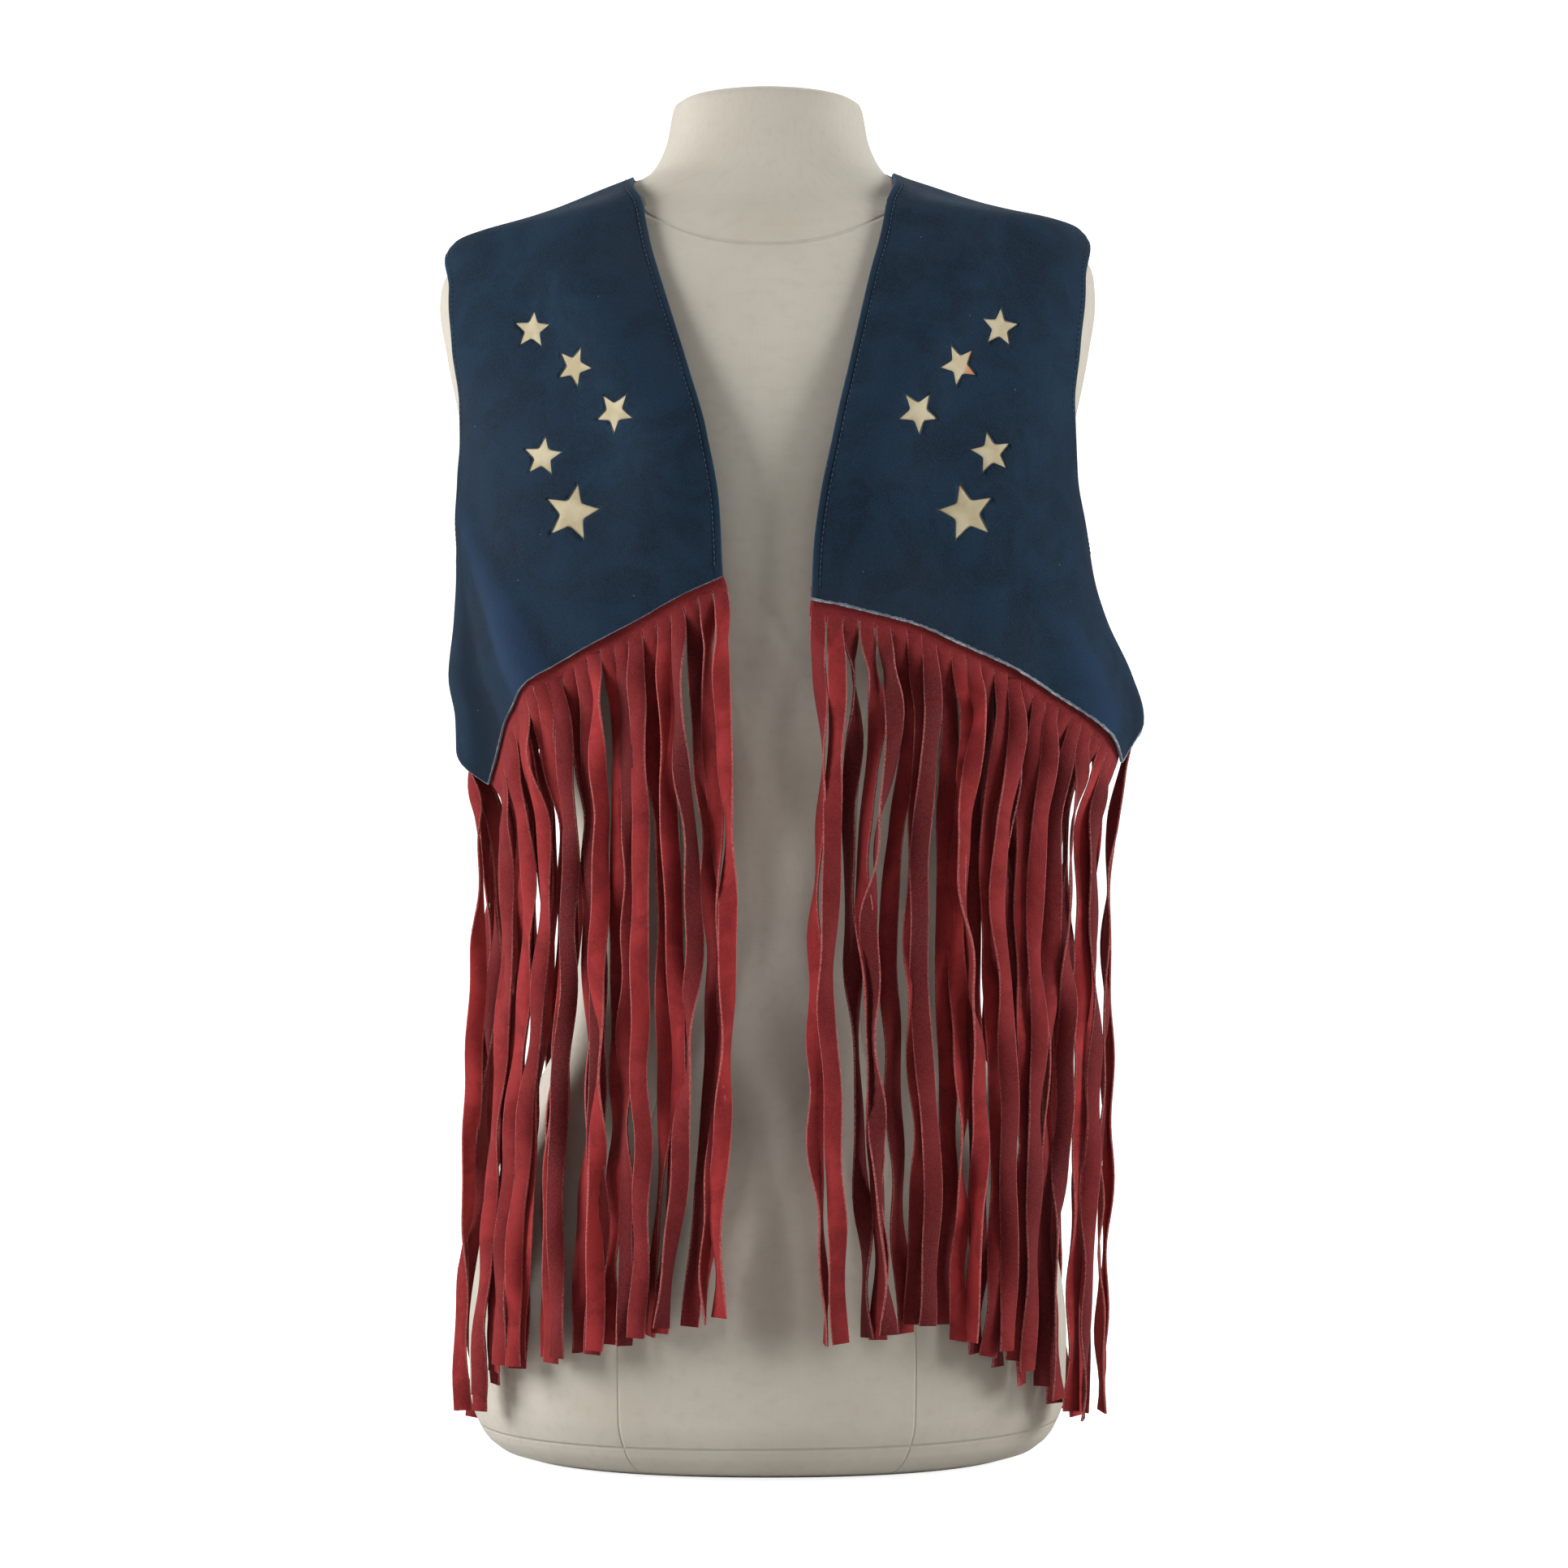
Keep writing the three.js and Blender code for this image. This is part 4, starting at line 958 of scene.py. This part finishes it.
def panel(side, turned, hems, shoulders):
    """A wall of suede with its UV maps. The lines are index pairs into the grid."""
    angle, z = np.moveaxis(grids[side], -1, 0)
    inner, outer = (cloth(angle, z, out, ALL_FOLDS) for out in (INSIDE, OUTSIDE))
    piece = wall(NODES[side] + "_suede", inner, outer, flip=side == "right")
    sets = (turned, hems, shoulders)
    edge, hem, seam = (nearest(outer, [outer[line] for line in lines]) for lines in sets)
    # The fold's rise also goes to the material, which paints a highlight on ridges and shade in hollows from
    # it.
    rise = fold_rise(angle, z, FOLDS + CORNER_FOLD + CREASES).ravel() / FULL_FOLD
    for name, pair in (("edges", (edge, hem / HEM_WEAR[side])), ("surface", (seam, rise))):
        add_uv(piece, name, np.tile(np.stack(pair, -1), (2, 1)))
    shape = bmesh.new()
    shape.from_mesh(piece.data)
    sharp = [edge for edge in shape.edges if edge.calc_face_angle(0) > SHARP_EDGE]
    bmesh.ops.bevel(
        shape, geom=sharp, offset=RIM_ROUND, segments=2, profile=0.6, affect="EDGES", clamp_overlap=True
    )
    shape.to_mesh(piece.data)
    shape.free()
    piece.data.shade_smooth()
    piece.data.materials.append(blue)
    return piece


WHOLE, ARM = slice(None), slice(BELOW_ARM, None)
SHOULDERS = (slice(0, SHOULDER_STEPS + 1), slice(-SHOULDER_STEPS - 1, None))
NECK = slice(SHOULDER_STEPS, -SHOULDER_STEPS)
hem_line = [(WHOLE, 0)]
panels = {side: panel(side, [(0, WHOLE), (-1, ARM)], hem_line, [(WHOLE, -1)]) for side in ("right", "left")}
back_turned = [(0, ARM), (-1, ARM), (NECK, -1)]
panels["back"] = panel("back", back_turned, hem_line, [(part, -1) for part in SHOULDERS])
print({name: len(piece.data.polygons) for name, piece in panels.items()})

# %% [markdown]
# The stars are holes cut through each front. A star is five points and five notches on two circles, so it
# needs one radius and one turn. The knife leaves the notches a little round. A Boolean modifier cuts each
# front once with all its stars together.

# %% Stars cut out
STARS = {  # x, height, radius and degrees turned clockwise
    "right": [
        (-130, 647, 11.8, 7), (-104, 624, 11.8, 27), (-80, 597, 11.8, 39), (-124, 575, 11.8, 8),
        (-107, 543, 16.8, 12),
    ],
    "left": [
        (129, 648, 11.8, 3), (104, 625, 12.3, -30), (80, 597, 12.3, -41), (124, 577, 12.3, -12),
        (110, 543, 17, -14),
    ],
}
STAR_NOTCH = 0.44
NOTCH_ROUND = 0.16  # share of an edge that the rounding of a notch takes


def star_outline(star):
    """Points (x, height) round a star, with its notches rounded."""
    x, z, radius, turn = star
    corners = []
    for k in range(10):
        reach = radius * (STAR_NOTCH if k % 2 else 1)
        angle = math.radians(turn) + k * math.pi / 5
        corners.append(np.array([x + reach * math.sin(angle), z + reach * math.cos(angle)]))
    outline = []
    for k, corner in enumerate(corners):
        if k % 2 == 0:
            outline.append(corner)
            continue
        into = corner + (corners[k - 1] - corner) * NOTCH_ROUND
        out = corner + (corners[(k + 1) % 10] - corner) * NOTCH_ROUND
        for t in np.linspace(0, 1, 4):
            outline.append(into * (1 - t) ** 2 + corner * 2 * t * (1 - t) + out * t**2)
    return np.array(outline)


def ring_faces(rings, count, first):
    """Faces between rings, with a flat cap at each end, facing outwards."""
    faces = []
    for a in range(first, first + (rings - 1) * count, count):
        b = a + count
        faces += [(a + (k + 1) % count, a + k, b + k, b + (k + 1) % count) for k in range(count)]
    last = first + (rings - 1) * count
    return faces + [tuple(range(first, first + count)), tuple(range(last + count - 1, last - 1, -1))]


def star_piece(name, stars, rings, stain=(0, 0)):
    """Stars as one mesh, in rings inwards, each with its share of the outline and its distance out.

    Each point stores its share as `rim`, used for painted shade, and how far it lies towards a stain as
    `stained`.
    """
    points, faces, shares, stained = [], [], [], []
    for star in stars:
        middle, outline = np.array(star[:2], float), star_outline(star)
        faces += ring_faces(len(rings), len(outline), len(shares))
        for share, out in rings:
            x, z = (middle + (outline - middle) * share).T
            ring = cloth(angle_at_x(x, z), z, out, ALL_FOLDS)
            points.append(ring)
            shares += [share] * len(ring)
            stained += ((ring[:, (0, 2)] - middle) @ np.array(stain) / star[2]).tolist()
    piece = add_mesh(name, np.concatenate(points), faces)
    add_values(piece, "rim", shares)
    add_values(piece, "stained", stained)
    return piece


CUT_FROM, CUT_TO = -1, SUEDE + 5
for side, stars in STARS.items():
    cutter = star_piece("cutter", stars, [(1, CUT_FROM), (1, CUT_TO)])
    cut = panels[side].modifiers.new("stars", "BOOLEAN")
    cut.operation = "DIFFERENCE"
    cut.solver = "EXACT"
    cut.object = cutter
    panels[side] = plain_mesh(panels[side], NODES[side] + "_suede")
    bpy.data.objects.remove(cutter)
print({name: len(piece.data.polygons) for name, piece in panels.items()})

# %% [markdown]
# Behind each hole lies the leather. It is a thin cushion of its own: low at the rim, where the suede
# presses on it, and rising a little towards the middle.

# %% Stars of cream leather
STAR_RINGS = [  # share of the outline, and distance out
    (1.004, OUTSIDE - 1.5), (1.004, OUTSIDE - 0.85), (0.86, OUTSIDE - 0.6), (0.6, OUTSIDE - 0.4),
    (0.3, OUTSIDE - 0.4),
]
STAINS = {("left", 2): (0.95, -0.3), ("left", 5): (-0.75, 0.65), ("right", 4): (-0.3, -0.5)}
for side, stars in STARS.items():
    for number, star in enumerate(stars, 1):
        stain = STAINS.get((side, number), (0, 0))
        patch = star_piece(f"star_{side}_{number}_leather", [star], STAR_RINGS, stain)
        patch.data.materials.append(cream)
        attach(patch, "root")
        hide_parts(f"star_{side}_{number}")
print("stars:", sum(len(stars) for stars in STARS.values()))

# %% [markdown]
# The fringe is one strip under each hem, cut into strands from below. Suede strands don't hang like wires:
# they leave the hem at a right angle, bend to the vertical, sway a little, and turn on edge here and
# there. We write each strand's middle line in Python, because it needs the cloth's surface, and let
# Geometry Nodes give every line its flat profile.

# %% Where the strands hang
STRANDS = {"right": 23, "left": 24, "back": 52}
ENDS = {  # share of the hem and height of the ends
    "right": [(0, 36), (0.2, 62), (0.5, 74), (0.75, 86), (1, 101)],
    "left": [(0, 84), (0.25, 91), (0.5, 76), (0.75, 56), (1, 24)],
    "back": [(0, 14), (0.5, 20), (1, 14)],
}
STRIP_MIDDLE = SEAT_GAP - 1.6  # from the cloth's line to the middle of the red suede
STRIP_THICKNESS = 1.2
STRIP_UNDER_HEM, STRIP_SHOWING = 7, 8
BACK_FRINGE_FROM_SEAM = 13
HEM_BEND = 9.0  # how far below the hem a strand has turned most of the way to the vertical
STEEPEST = 1.2  # of a hem, as rise over run
NEARBY = 3  # millimetres to each side over which a slope is measured


def hem_places(side):
    """The hem that a fringe follows, with the angle increasing."""
    if side != "back":
        return sorted(place_at(x, z) for x, z in HEM[side])
    places = []
    for share in np.linspace(0, 1, 21):
        z = float(smooth_line(*zip(*BACK_HEM))(share))
        back, power = float(cloth_size[3](z)), float(cloth_size[4](z))
        skipped = math.asin((BACK_FRINGE_FROM_SEAM / back) ** (power / 2))
        places.append((math.pi / 2 + skipped + (math.pi - 2 * skipped) * share, z))
    return places


class HemRuler:
    """Measures along a hem: places by length, slope and the level metric."""

    def __init__(self, side):
        self.fine = spaced(hem_places(side), 400)
        steps = np.linalg.norm(np.diff(drape(*self.fine.T), axis=0), axis=1)
        self.lengths = np.concatenate([[0], np.cumsum(steps)])
        self.total = self.lengths[-1]

    def place(self, length):
        return [np.interp(length, self.lengths, self.fine[:, k]) for k in (0, 1)]

    def slope(self, length):
        """Rise for each millimetre along the level, and millimetres along the level for a radian."""
        low, (angle, z), high = (self.place(length + step) for step in (-NEARBY, 0, NEARBY))
        level = np.linalg.norm(drape(angle + SMALL_TURN, z) - drape(angle - SMALL_TURN, z), axis=-1)
        metric = level / (2 * SMALL_TURN)
        return np.clip((high[1] - low[1]) / ((high[0] - low[0]) * metric), -STEEPEST, STEEPEST), metric


def below_hem(ruler, length, drop, out):
    """Points below the hem: square to it at first, and straight down further on."""
    angle, z = ruler.place(length)
    slope, metric = ruler.slope(length)
    aside = slope * HEM_BEND * (1 - np.exp(-np.maximum(drop, 0) / HEM_BEND))
    angle = angle + aside / metric
    return cloth(angle, z - drop, out), angle


rulers = {side: HemRuler(side) for side in STRANDS}
print({side: round(float(ruler.total)) for side, ruler in rulers.items()}, "mm of hem")

# %% [markdown]
# The numbers that make each strand its own come from a seeded generator, so every run hangs the same
# fringe. Neighbours also share slow waves, because strands that touch move together.

# %% Middle lines of the strands
STRAND_STEPS, STEP_POWER = 64, 1.25  # the steps are shorter near the hem
START_ABOVE = 3.5  # a strand starts this far up in the strip
END_SCATTER = 9
LAYERS = (0, 4.6, -5.2)  # neighbours hang in front of each other and behind
FREE, LOOSE = (7, 30), (25, 120)  # drop where a strand starts to leave the strip and to sway, and how long
WAVES = {  # the wave's phase, its least pace and the most that chance adds, for each 10 mm
    "sway": (0, 0.09, 0.1), "waver": (1, 0.28, 0.22), "swing": (2, 0.12, 0.1), "turn": (3, 0.1, 0.2),
    "flutter": (4, 0.55, 0.4),
}
SWAY, WAVER, LEAN = 0.34, 0.45, 1.2  # shares of the room beside a strand
SHARED_SWAY, RIPPLE_SWAY, SWING, SHARED_SWING, RIPPLE_SWING = 2.4, 1.1, 0.9, 1.6, 0.6  # millimetres
LEAST_TURN, MORE_TURN, FLUTTER = 12, 76, 15  # degrees
TOGETHER = {  # waves that neighbours share: length along the hem, length down a strand / 10, shift
    "sway": (26, 7, 0.0), "waver": (11, -10, 1.3), "swing": (34, 8, 2.0),
}
SHARED_WAVER = 0.7
RIPPLE_PACE, RIPPLE_FADING = (0.66, 0.5), 0.17
STRAND_WIDTH, MOST_ROOM = 8, 6
WIDTH_SCATTER, FREE_WIDTH, WIDTH_WAVE = 0.05, 0.27, 0.04  # shares of the width in the strip
# Fading mixed with painted light and shade: the strip's value, the scatter between strands, and a wave down
# each.
STRIP_TONE, TONE_AND_SHADE_SCATTER, PAINTED_SHADE_WAVE = 0.45, 0.36, 0.26


def strand_lines(side, seed):
    """Lines of all strands of a fringe, with the facing, width, fading and painted shade along them."""
    dice = np.random.default_rng(seed)
    ruler, count = rulers[side], STRANDS[side]
    pitch = ruler.total / count
    end_height = smooth_line(*zip(*ENDS[side]))
    t = np.linspace(0, 1, STRAND_STEPS) ** STEP_POWER
    top = STRIP_SHOWING - START_ABOVE
    points, facing, values = [], [], []
    for k in range(count):
        length = (k + 0.5) * pitch
        angle, z = ruler.place(length)
        slope, metric = ruler.slope(length)
        level_pitch = pitch / math.hypot(1, slope)
        end = float(end_height((k + 0.5) / count)) + (dice.random() - 0.5) * END_SCATTER
        drop = top + (z - end - top) * t
        free, loose = (smoothstep((drop - start) / over) for start, over in (FREE, LOOSE))
        line, turned = below_hem(ruler, length, drop, STRIP_MIDDLE)
        ahead = drape(turned + 0.02, z - drop) - drape(turned - 0.02, z - drop)
        along = unit(ahead * (1, 1, 0))
        out = np.stack([along[:, 1], -along[:, 0], np.zeros(len(t))], -1)
        room = np.clip((len(LAYERS) * level_pitch - STRAND_WIDTH) / 2 - 1, 0, MOST_ROOM)
        place, down = angle * metric, drop / 10
        phase = dice.random(6) * 2 * math.pi

        def wave(name):
            number, least, more = WAVES[name]
            return np.sin(phase[number] + down * (least + more * dice.random()))

        def together(name):
            along_hem, downwards, shift = TOGETHER[name]
            return np.sin(place / along_hem + down / downwards + shift)

        own = wave("sway") - np.sin(phase[0])
        own += WAVER * (wave("waver") - np.sin(phase[1]))
        lean = (dice.random() - 0.5) * LEAN
        ripple = phase[5] + down * (RIPPLE_PACE[0] + RIPPLE_PACE[1] * dice.random())
        small = np.sin(ripple) * (0.5 + 0.5 * np.sin(phase[3] + down * RIPPLE_FADING))
        shared = together("sway") + SHARED_WAVER * together("waver")
        sideways = room * free * (SWAY * own + lean * t)
        sideways += loose * (SHARED_SWAY * shared + RIPPLE_SWAY * small)
        depth = loose * (SWING * wave("swing") + SHARED_SWING * together("swing"))
        depth += free * (RIPPLE_SWING * np.cos(ripple) + LAYERS[k % 3])
        points.append(line + along * sideways[:, None] + out * depth[:, None])

        narrow = min(1, max(0.3, (level_pitch - 3.5) / 4.5))  # strands close together can turn less
        most = math.radians(LEAST_TURN + MORE_TURN * dice.random() ** 1.6) * narrow
        turn = free * (most * wave("turn") + math.radians(FLUTTER) * wave("flutter"))
        normal = drape_normal(turned, z - drop)
        normal = normal * (1 - free)[:, None] + out * free[:, None]
        facing.append(unit(normal * np.cos(turn)[:, None] + along * np.sin(turn)[:, None]))

        wider = FREE_WIDTH + WIDTH_WAVE * np.sin(phase[5] + down * 0.35)
        width = 1 - WIDTH_SCATTER * dice.random() + wider * free
        # Each strand gets uneven fading and painted light and shade, with a slow wave of painted shade down
        # it.
        own_tone_and_shade = 0.5 + TONE_AND_SHADE_SCATTER * dice.standard_normal() + PAINTED_SHADE_WAVE * np.sin(phase[1] + down / 5)
        tone = np.clip(STRIP_TONE + (own_tone_and_shade - STRIP_TONE) * smoothstep((drop - 6) / 25), 0, 1)
        values.append(np.stack([width, tone], -1))
    return np.array(points), np.array(facing), np.array(values)


print("strands:", sum(STRANDS.values()))

# %% [markdown]
# The tree turns each line into a curve, sets which way its flat side faces, and sweeps a rounded flat
# profile along it. The profile remembers how far across the strand each of its corners is, for the
# material.

# %% Geometry Nodes: strands
tree, given, result = new_tree(
    "Cut strands",
    "GeometryNodeTree",
    {"Lines": None, "Width": 0.008, "Thickness": 0.0012, "Corner": 0.0003, "Material": None},
    ["Strands"],
)
facing, width = (
    put(tree, "GeometryNodeInputNamedAttribute", {"Name": name}, data_type=sort)
    for name, sort in (("facing", "FLOAT_VECTOR"), ("width", "FLOAT"))
)
curves = put(tree, "GeometryNodeMeshToCurve", {"Mesh": given["Lines"]})
curves = put(tree, "GeometryNodeSetCurveNormal", {"Curve": curves, "Normal": facing}, mode="FREE")
sizes = {"Width": given["Thickness"], "Height": given["Width"]}
flat = put(tree, "GeometryNodeCurvePrimitiveQuadrilateral", sizes, mode="RECTANGLE")
rounding = {"Curve": flat, "Count": 1, "Radius": given["Corner"]}
flat = put(tree, "GeometryNodeFilletCurve", rounding, mode="POLY")
corner = place_node(tree, "ShaderNodeSeparateXYZ", {0: put(tree, "GeometryNodeInputPosition")})
across = sums(tree, "DIVIDE", corner.outputs[1], product(tree, given["Width"], 0.5))
kept = {"Geometry": flat, "Name": "across", "Value": across}
flat = put(tree, "GeometryNodeStoreNamedAttribute", kept, data_type="FLOAT", domain="POINT")
sweep = {"Curve": curves, "Profile Curve": flat, "Scale": width, "Fill Caps": True}
strand_tree = finish_tree(tree, put(tree, "GeometryNodeCurveToMesh", sweep), given, result)

# %% [markdown]
# Each fringe is two pieces: the strip that is sewn under the hem, and the strands that hang from it. The
# strands start a little way up inside the strip, so no gap opens where they are cut.

# %% Fringes
SEEDS = {"right": 11, "left": 24, "back": 37}
STRIP_COLUMN = 2.2  # millimetres between two columns of a strip
STRIP_ROWS = 9
STRIP_TAPER = 0.6  # the strip thins towards its lower edge
CUT_WIDTH, FLATTER, CORNER = 0.7, 0.1, 0.00032


def fringe_strip(side):
    """The uncut band of red suede under a hem, with a slightly wavy lower edge."""
    ruler = rulers[side]
    lengths = np.linspace(0, ruler.total, int(ruler.total / STRIP_COLUMN))
    foot = STRIP_SHOWING + 1.6 * np.sin(lengths / 5.3) + 1.5 * np.sin(lengths / 11.7 + 1)
    faces = []
    for sign in (-1, 1):
        rows = []
        for share in np.linspace(1, 0, STRIP_ROWS):
            thickness = STRIP_THICKNESS * (1 - STRIP_TAPER * smoothstep((share - 0.7) / 0.3))
            drop = -STRIP_UNDER_HEM + (foot + STRIP_UNDER_HEM) * share
            rows.append(below_hem(ruler, lengths, drop, STRIP_MIDDLE + sign * thickness / 2)[0])
        faces.append(np.stack(rows, 1))
    strip = wall("fringe_" + side + "_strip", *faces)
    count = len(strip.data.vertices)
    add_values(strip, "tone", np.full(count, STRIP_TONE))
    add_values(strip, "across", np.zeros(count))
    strip.data.materials.append(red)
    return strip


fringes = {}
for side, seed in SEEDS.items():
    lines, facings, numbers = strand_lines(side, seed)
    source = lines_object("lines_" + side, lines)
    layer = source.data.attributes.new("facing", "FLOAT_VECTOR", "POINT")
    layer.data.foreach_set("vector", facings.astype(np.float32).ravel())
    for k, name in enumerate(("width", "tone")):
        add_values(source, name, numbers[..., k])
    strand_width = rulers[side].total / STRANDS[side] - CUT_WIDTH
    thickness = (STRIP_THICKNESS - FLATTER) * MM
    sizes = {"Width": strand_width * MM, "Thickness": thickness, "Corner": CORNER, "Material": red}
    strands = run_tree(source, strand_tree, "fringe_" + side + "_strands", sizes)
    fringes[side] = [fringe_strip(side), strands]
    for piece in fringes[side]:
        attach(piece, "root")
        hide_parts("fringe_" + side)
    print(side, "strands", len(strands.data.polygons), "faces")

# %% [markdown]
# The turned edges are held down by a row of machine stitches, 4.5 mm in. One stitch is a small long bead
# that dips into the suede at both ends; Geometry Nodes sets it along a line at an even spacing.

# %% Geometry Nodes: stitches
ASKEW = 0.12  # how far chance turns a stitch

tree, given, result = new_tree(
    "Stitches",
    "GeometryNodeTree",
    {"Lines": None, "Spacing": 0.0032, "Length": 0.0024, "Thickness": 0.0006, "Seed": 3, "Material": None},
    ["Stitches"],
)
lines = put(tree, "GeometryNodeMeshToCurve", {"Mesh": given["Lines"]})
lines = put(tree, "GeometryNodeResampleCurve", {"Curve": lines, "Length": given["Spacing"]}, mode="LENGTH")
bead = put(tree, "GeometryNodeMeshUVSphere", {"Segments": 6, "Rings": 4, "Radius": 0.5})
thick = given["Thickness"]
size = put(tree, "ShaderNodeCombineXYZ", {0: thick, 1: thick, 2: given["Length"]})
chance = {0: (-ASKEW,) * 3, 1: (ASKEW,) * 3, "Seed": given["Seed"]}
askew = put(tree, "FunctionNodeRandomValue", chance, data_type="FLOAT_VECTOR")
tangent = put(tree, "GeometryNodeInputTangent")
way = put(tree, "ShaderNodeVectorMath", {0: tangent, 1: askew}, operation="ADD")
turn = put(tree, "FunctionNodeAlignRotationToVector", {"Vector": way}, axis="Z")
row = {"Points": lines, "Instance": bead, "Rotation": turn, "Scale": size}
stitch_tree = finish_tree(tree, put(tree, "GeometryNodeInstanceOnPoints", row), given, result)

# %% Stitches along the turned edges
STITCH_INSET = 4.5
THREAD_OUT = OUTSIDE + 0.08
STITCH_SEEDS = {"right": 5, "left": 5, "back": 6}


def line_beside(grid, column, rows):
    """Points a little in from the first (0) or last (-1) column of a grid."""
    places = grid if column == 0 else grid[::-1]
    points = cloth(places[..., 0], places[..., 1], OUTSIDE, ALL_FOLDS)
    steps = np.linalg.norm(np.diff(points, axis=0), axis=-1)
    far = np.concatenate([np.zeros((1, steps.shape[1])), np.cumsum(steps, 0)])
    line = [[np.interp(STITCH_INSET, far[:, j], places[:, j, k]) for j in rows] for k in (0, 1)]
    return cloth(*np.array(line), THREAD_OUT, ALL_FOLDS)


stitches = {}
last_row = BELOW_ARM + ALONG_ARM
arm = range(BELOW_ARM + 4, last_row)
neck = range(SHOULDER_STEPS + 2, BACK_STEPS - SHOULDER_STEPS - 1)
for side, grid in grids.items():
    runs = [(grid, 0, arm if side == "back" else range(2, last_row)), (grid, -1, arm)]
    if side == "back":
        runs.append((np.transpose(grid, (1, 0, 2)), -1, neck))
    source = lines_object("stitch_lines_" + side, [line_beside(*run) for run in runs])
    values = {"Seed": STITCH_SEEDS[side], "Material": thread}
    stitches[side] = run_tree(source, stitch_tree, "stitches_" + side, values)
print({name: len(piece.data.polygons) for name, piece in stitches.items()})

# %% [markdown]
# The hem is cut and left raw. Years of wear have fluffed the cut into a thin pale roll, strongest on the
# wearer's left. A tube along the edge, pushed about by noise, gives that ragged line. A plainer tube of
# blue suede makes the welt of the shoulder seams.

# %% Geometry Nodes: rolled edge
tree, given, result = new_tree(
    "Rolled edge",
    "GeometryNodeTree",
    {
        "Lines": None, "Step": 0.0012, "Radius": 0.0005, "Ragged": 0.0005, "Grain": 260.0,
        "Material": None,
    },
    ["Roll"],
)
lines = put(tree, "GeometryNodeMeshToCurve", {"Mesh": given["Lines"]})
lines = put(tree, "GeometryNodeResampleCurve", {"Curve": lines, "Length": given["Step"]}, mode="LENGTH")
grain = place_node(tree, "ShaderNodeTexNoise", {"Scale": given["Grain"], "Detail": 2.0}).outputs["Color"]
middle = put(tree, "ShaderNodeVectorMath", {0: grain, 1: (0.5, 0.5, 0.5)}, operation="SUBTRACT")
push = put(tree, "ShaderNodeVectorMath", {0: middle, "Scale": given["Ragged"]}, operation="SCALE")
lines = put(tree, "GeometryNodeSetPosition", {"Geometry": lines, "Offset": push})
ring = put(tree, "GeometryNodeCurvePrimitiveCircle", {"Resolution": 6, "Radius": given["Radius"]})
swell = put(tree, "ShaderNodeTexNoise", {"Scale": 140.0, "Detail": 2.0})
swell = spread(tree, swell, 0.25, 1.5, 0.32, 0.68)
sweep = {"Curve": lines, "Profile Curve": ring, "Scale": swell, "Fill Caps": True}
roll_tree = finish_tree(tree, put(tree, "GeometryNodeCurveToMesh", sweep), given, result)

# %% Raw hems and shoulder welts
HEM_ROLL = {"right": 0.00012, "left": 0.00044, "back": 0.0002}  # radius in metres
HEM_SET_IN, HEM_SET_DOWN, WELT_SET_IN = 0.35, 0.1, 0.5
WELT = {"Radius": 0.0009, "Ragged": 0.0001, "Step": 0.002, "Material": blue}
# The welt tubes lie near the seam, so they take part of its painted highlight too.
WELT_MAPS = {"edges": (0.05, 0.05), "surface": (0.0014, 0.0)}  # close to a seam and far from an edge


def edge_line(grid, row, part, out):
    """Points along a row of a grid."""
    return cloth(*grid[part, row].T, out, ALL_FOLDS)


hem_rolls, welts = {}, {}
for side, grid in grids.items():
    line = edge_line(grid, 0, WHOLE, OUTSIDE - HEM_SET_IN) - (0, 0, HEM_SET_DOWN)
    values = {"Radius": HEM_ROLL[side], "Material": raw_edge}
    source = lines_object("hem_line_" + side, [line])
    hem_rolls[side] = run_tree(source, roll_tree, "hem_roll_" + side, values)
for side, part in zip(("left", "right"), SHOULDERS):
    line = edge_line(grids["back"], -1, part, OUTSIDE - WELT_SET_IN)
    source = lines_object("welt_line_" + side, [line])
    welts[side] = run_tree(source, roll_tree, "shoulder_welt_" + side, WELT)
    for name, pair in WELT_MAPS.items():
        add_uv(welts[side], name, np.tile(pair, (len(welts[side].data.vertices), 1)))
print({name: len(piece.data.polygons) for name, piece in {**hem_rolls, **welts}.items()})

# %% [markdown]
# Last, each piece is tied to the frame it rides on, and the CAD node that it stands for is hidden. The table
# lists how large each sheet was when it lay flat on the cutting table, but only its sides are read here.

# %% Ride and replace
FLAT = {"right": (0.25, 0.36, 0.052), "left": (0.27, 0.35, 0.056), "back": (0.53, 0.35, 0.157)}
for side, (width, length, area) in FLAT.items():
    trims = [stitches[side], hem_rolls[side]] + ([] if side == "back" else [welts[side]])
    for piece in trims + [panels[side]]:
        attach(piece, "root")
    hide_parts(NODES[side])

# %% [markdown]
# The scene is brought up to date at the end.

# %% Finish
bpy.context.view_layer.update()
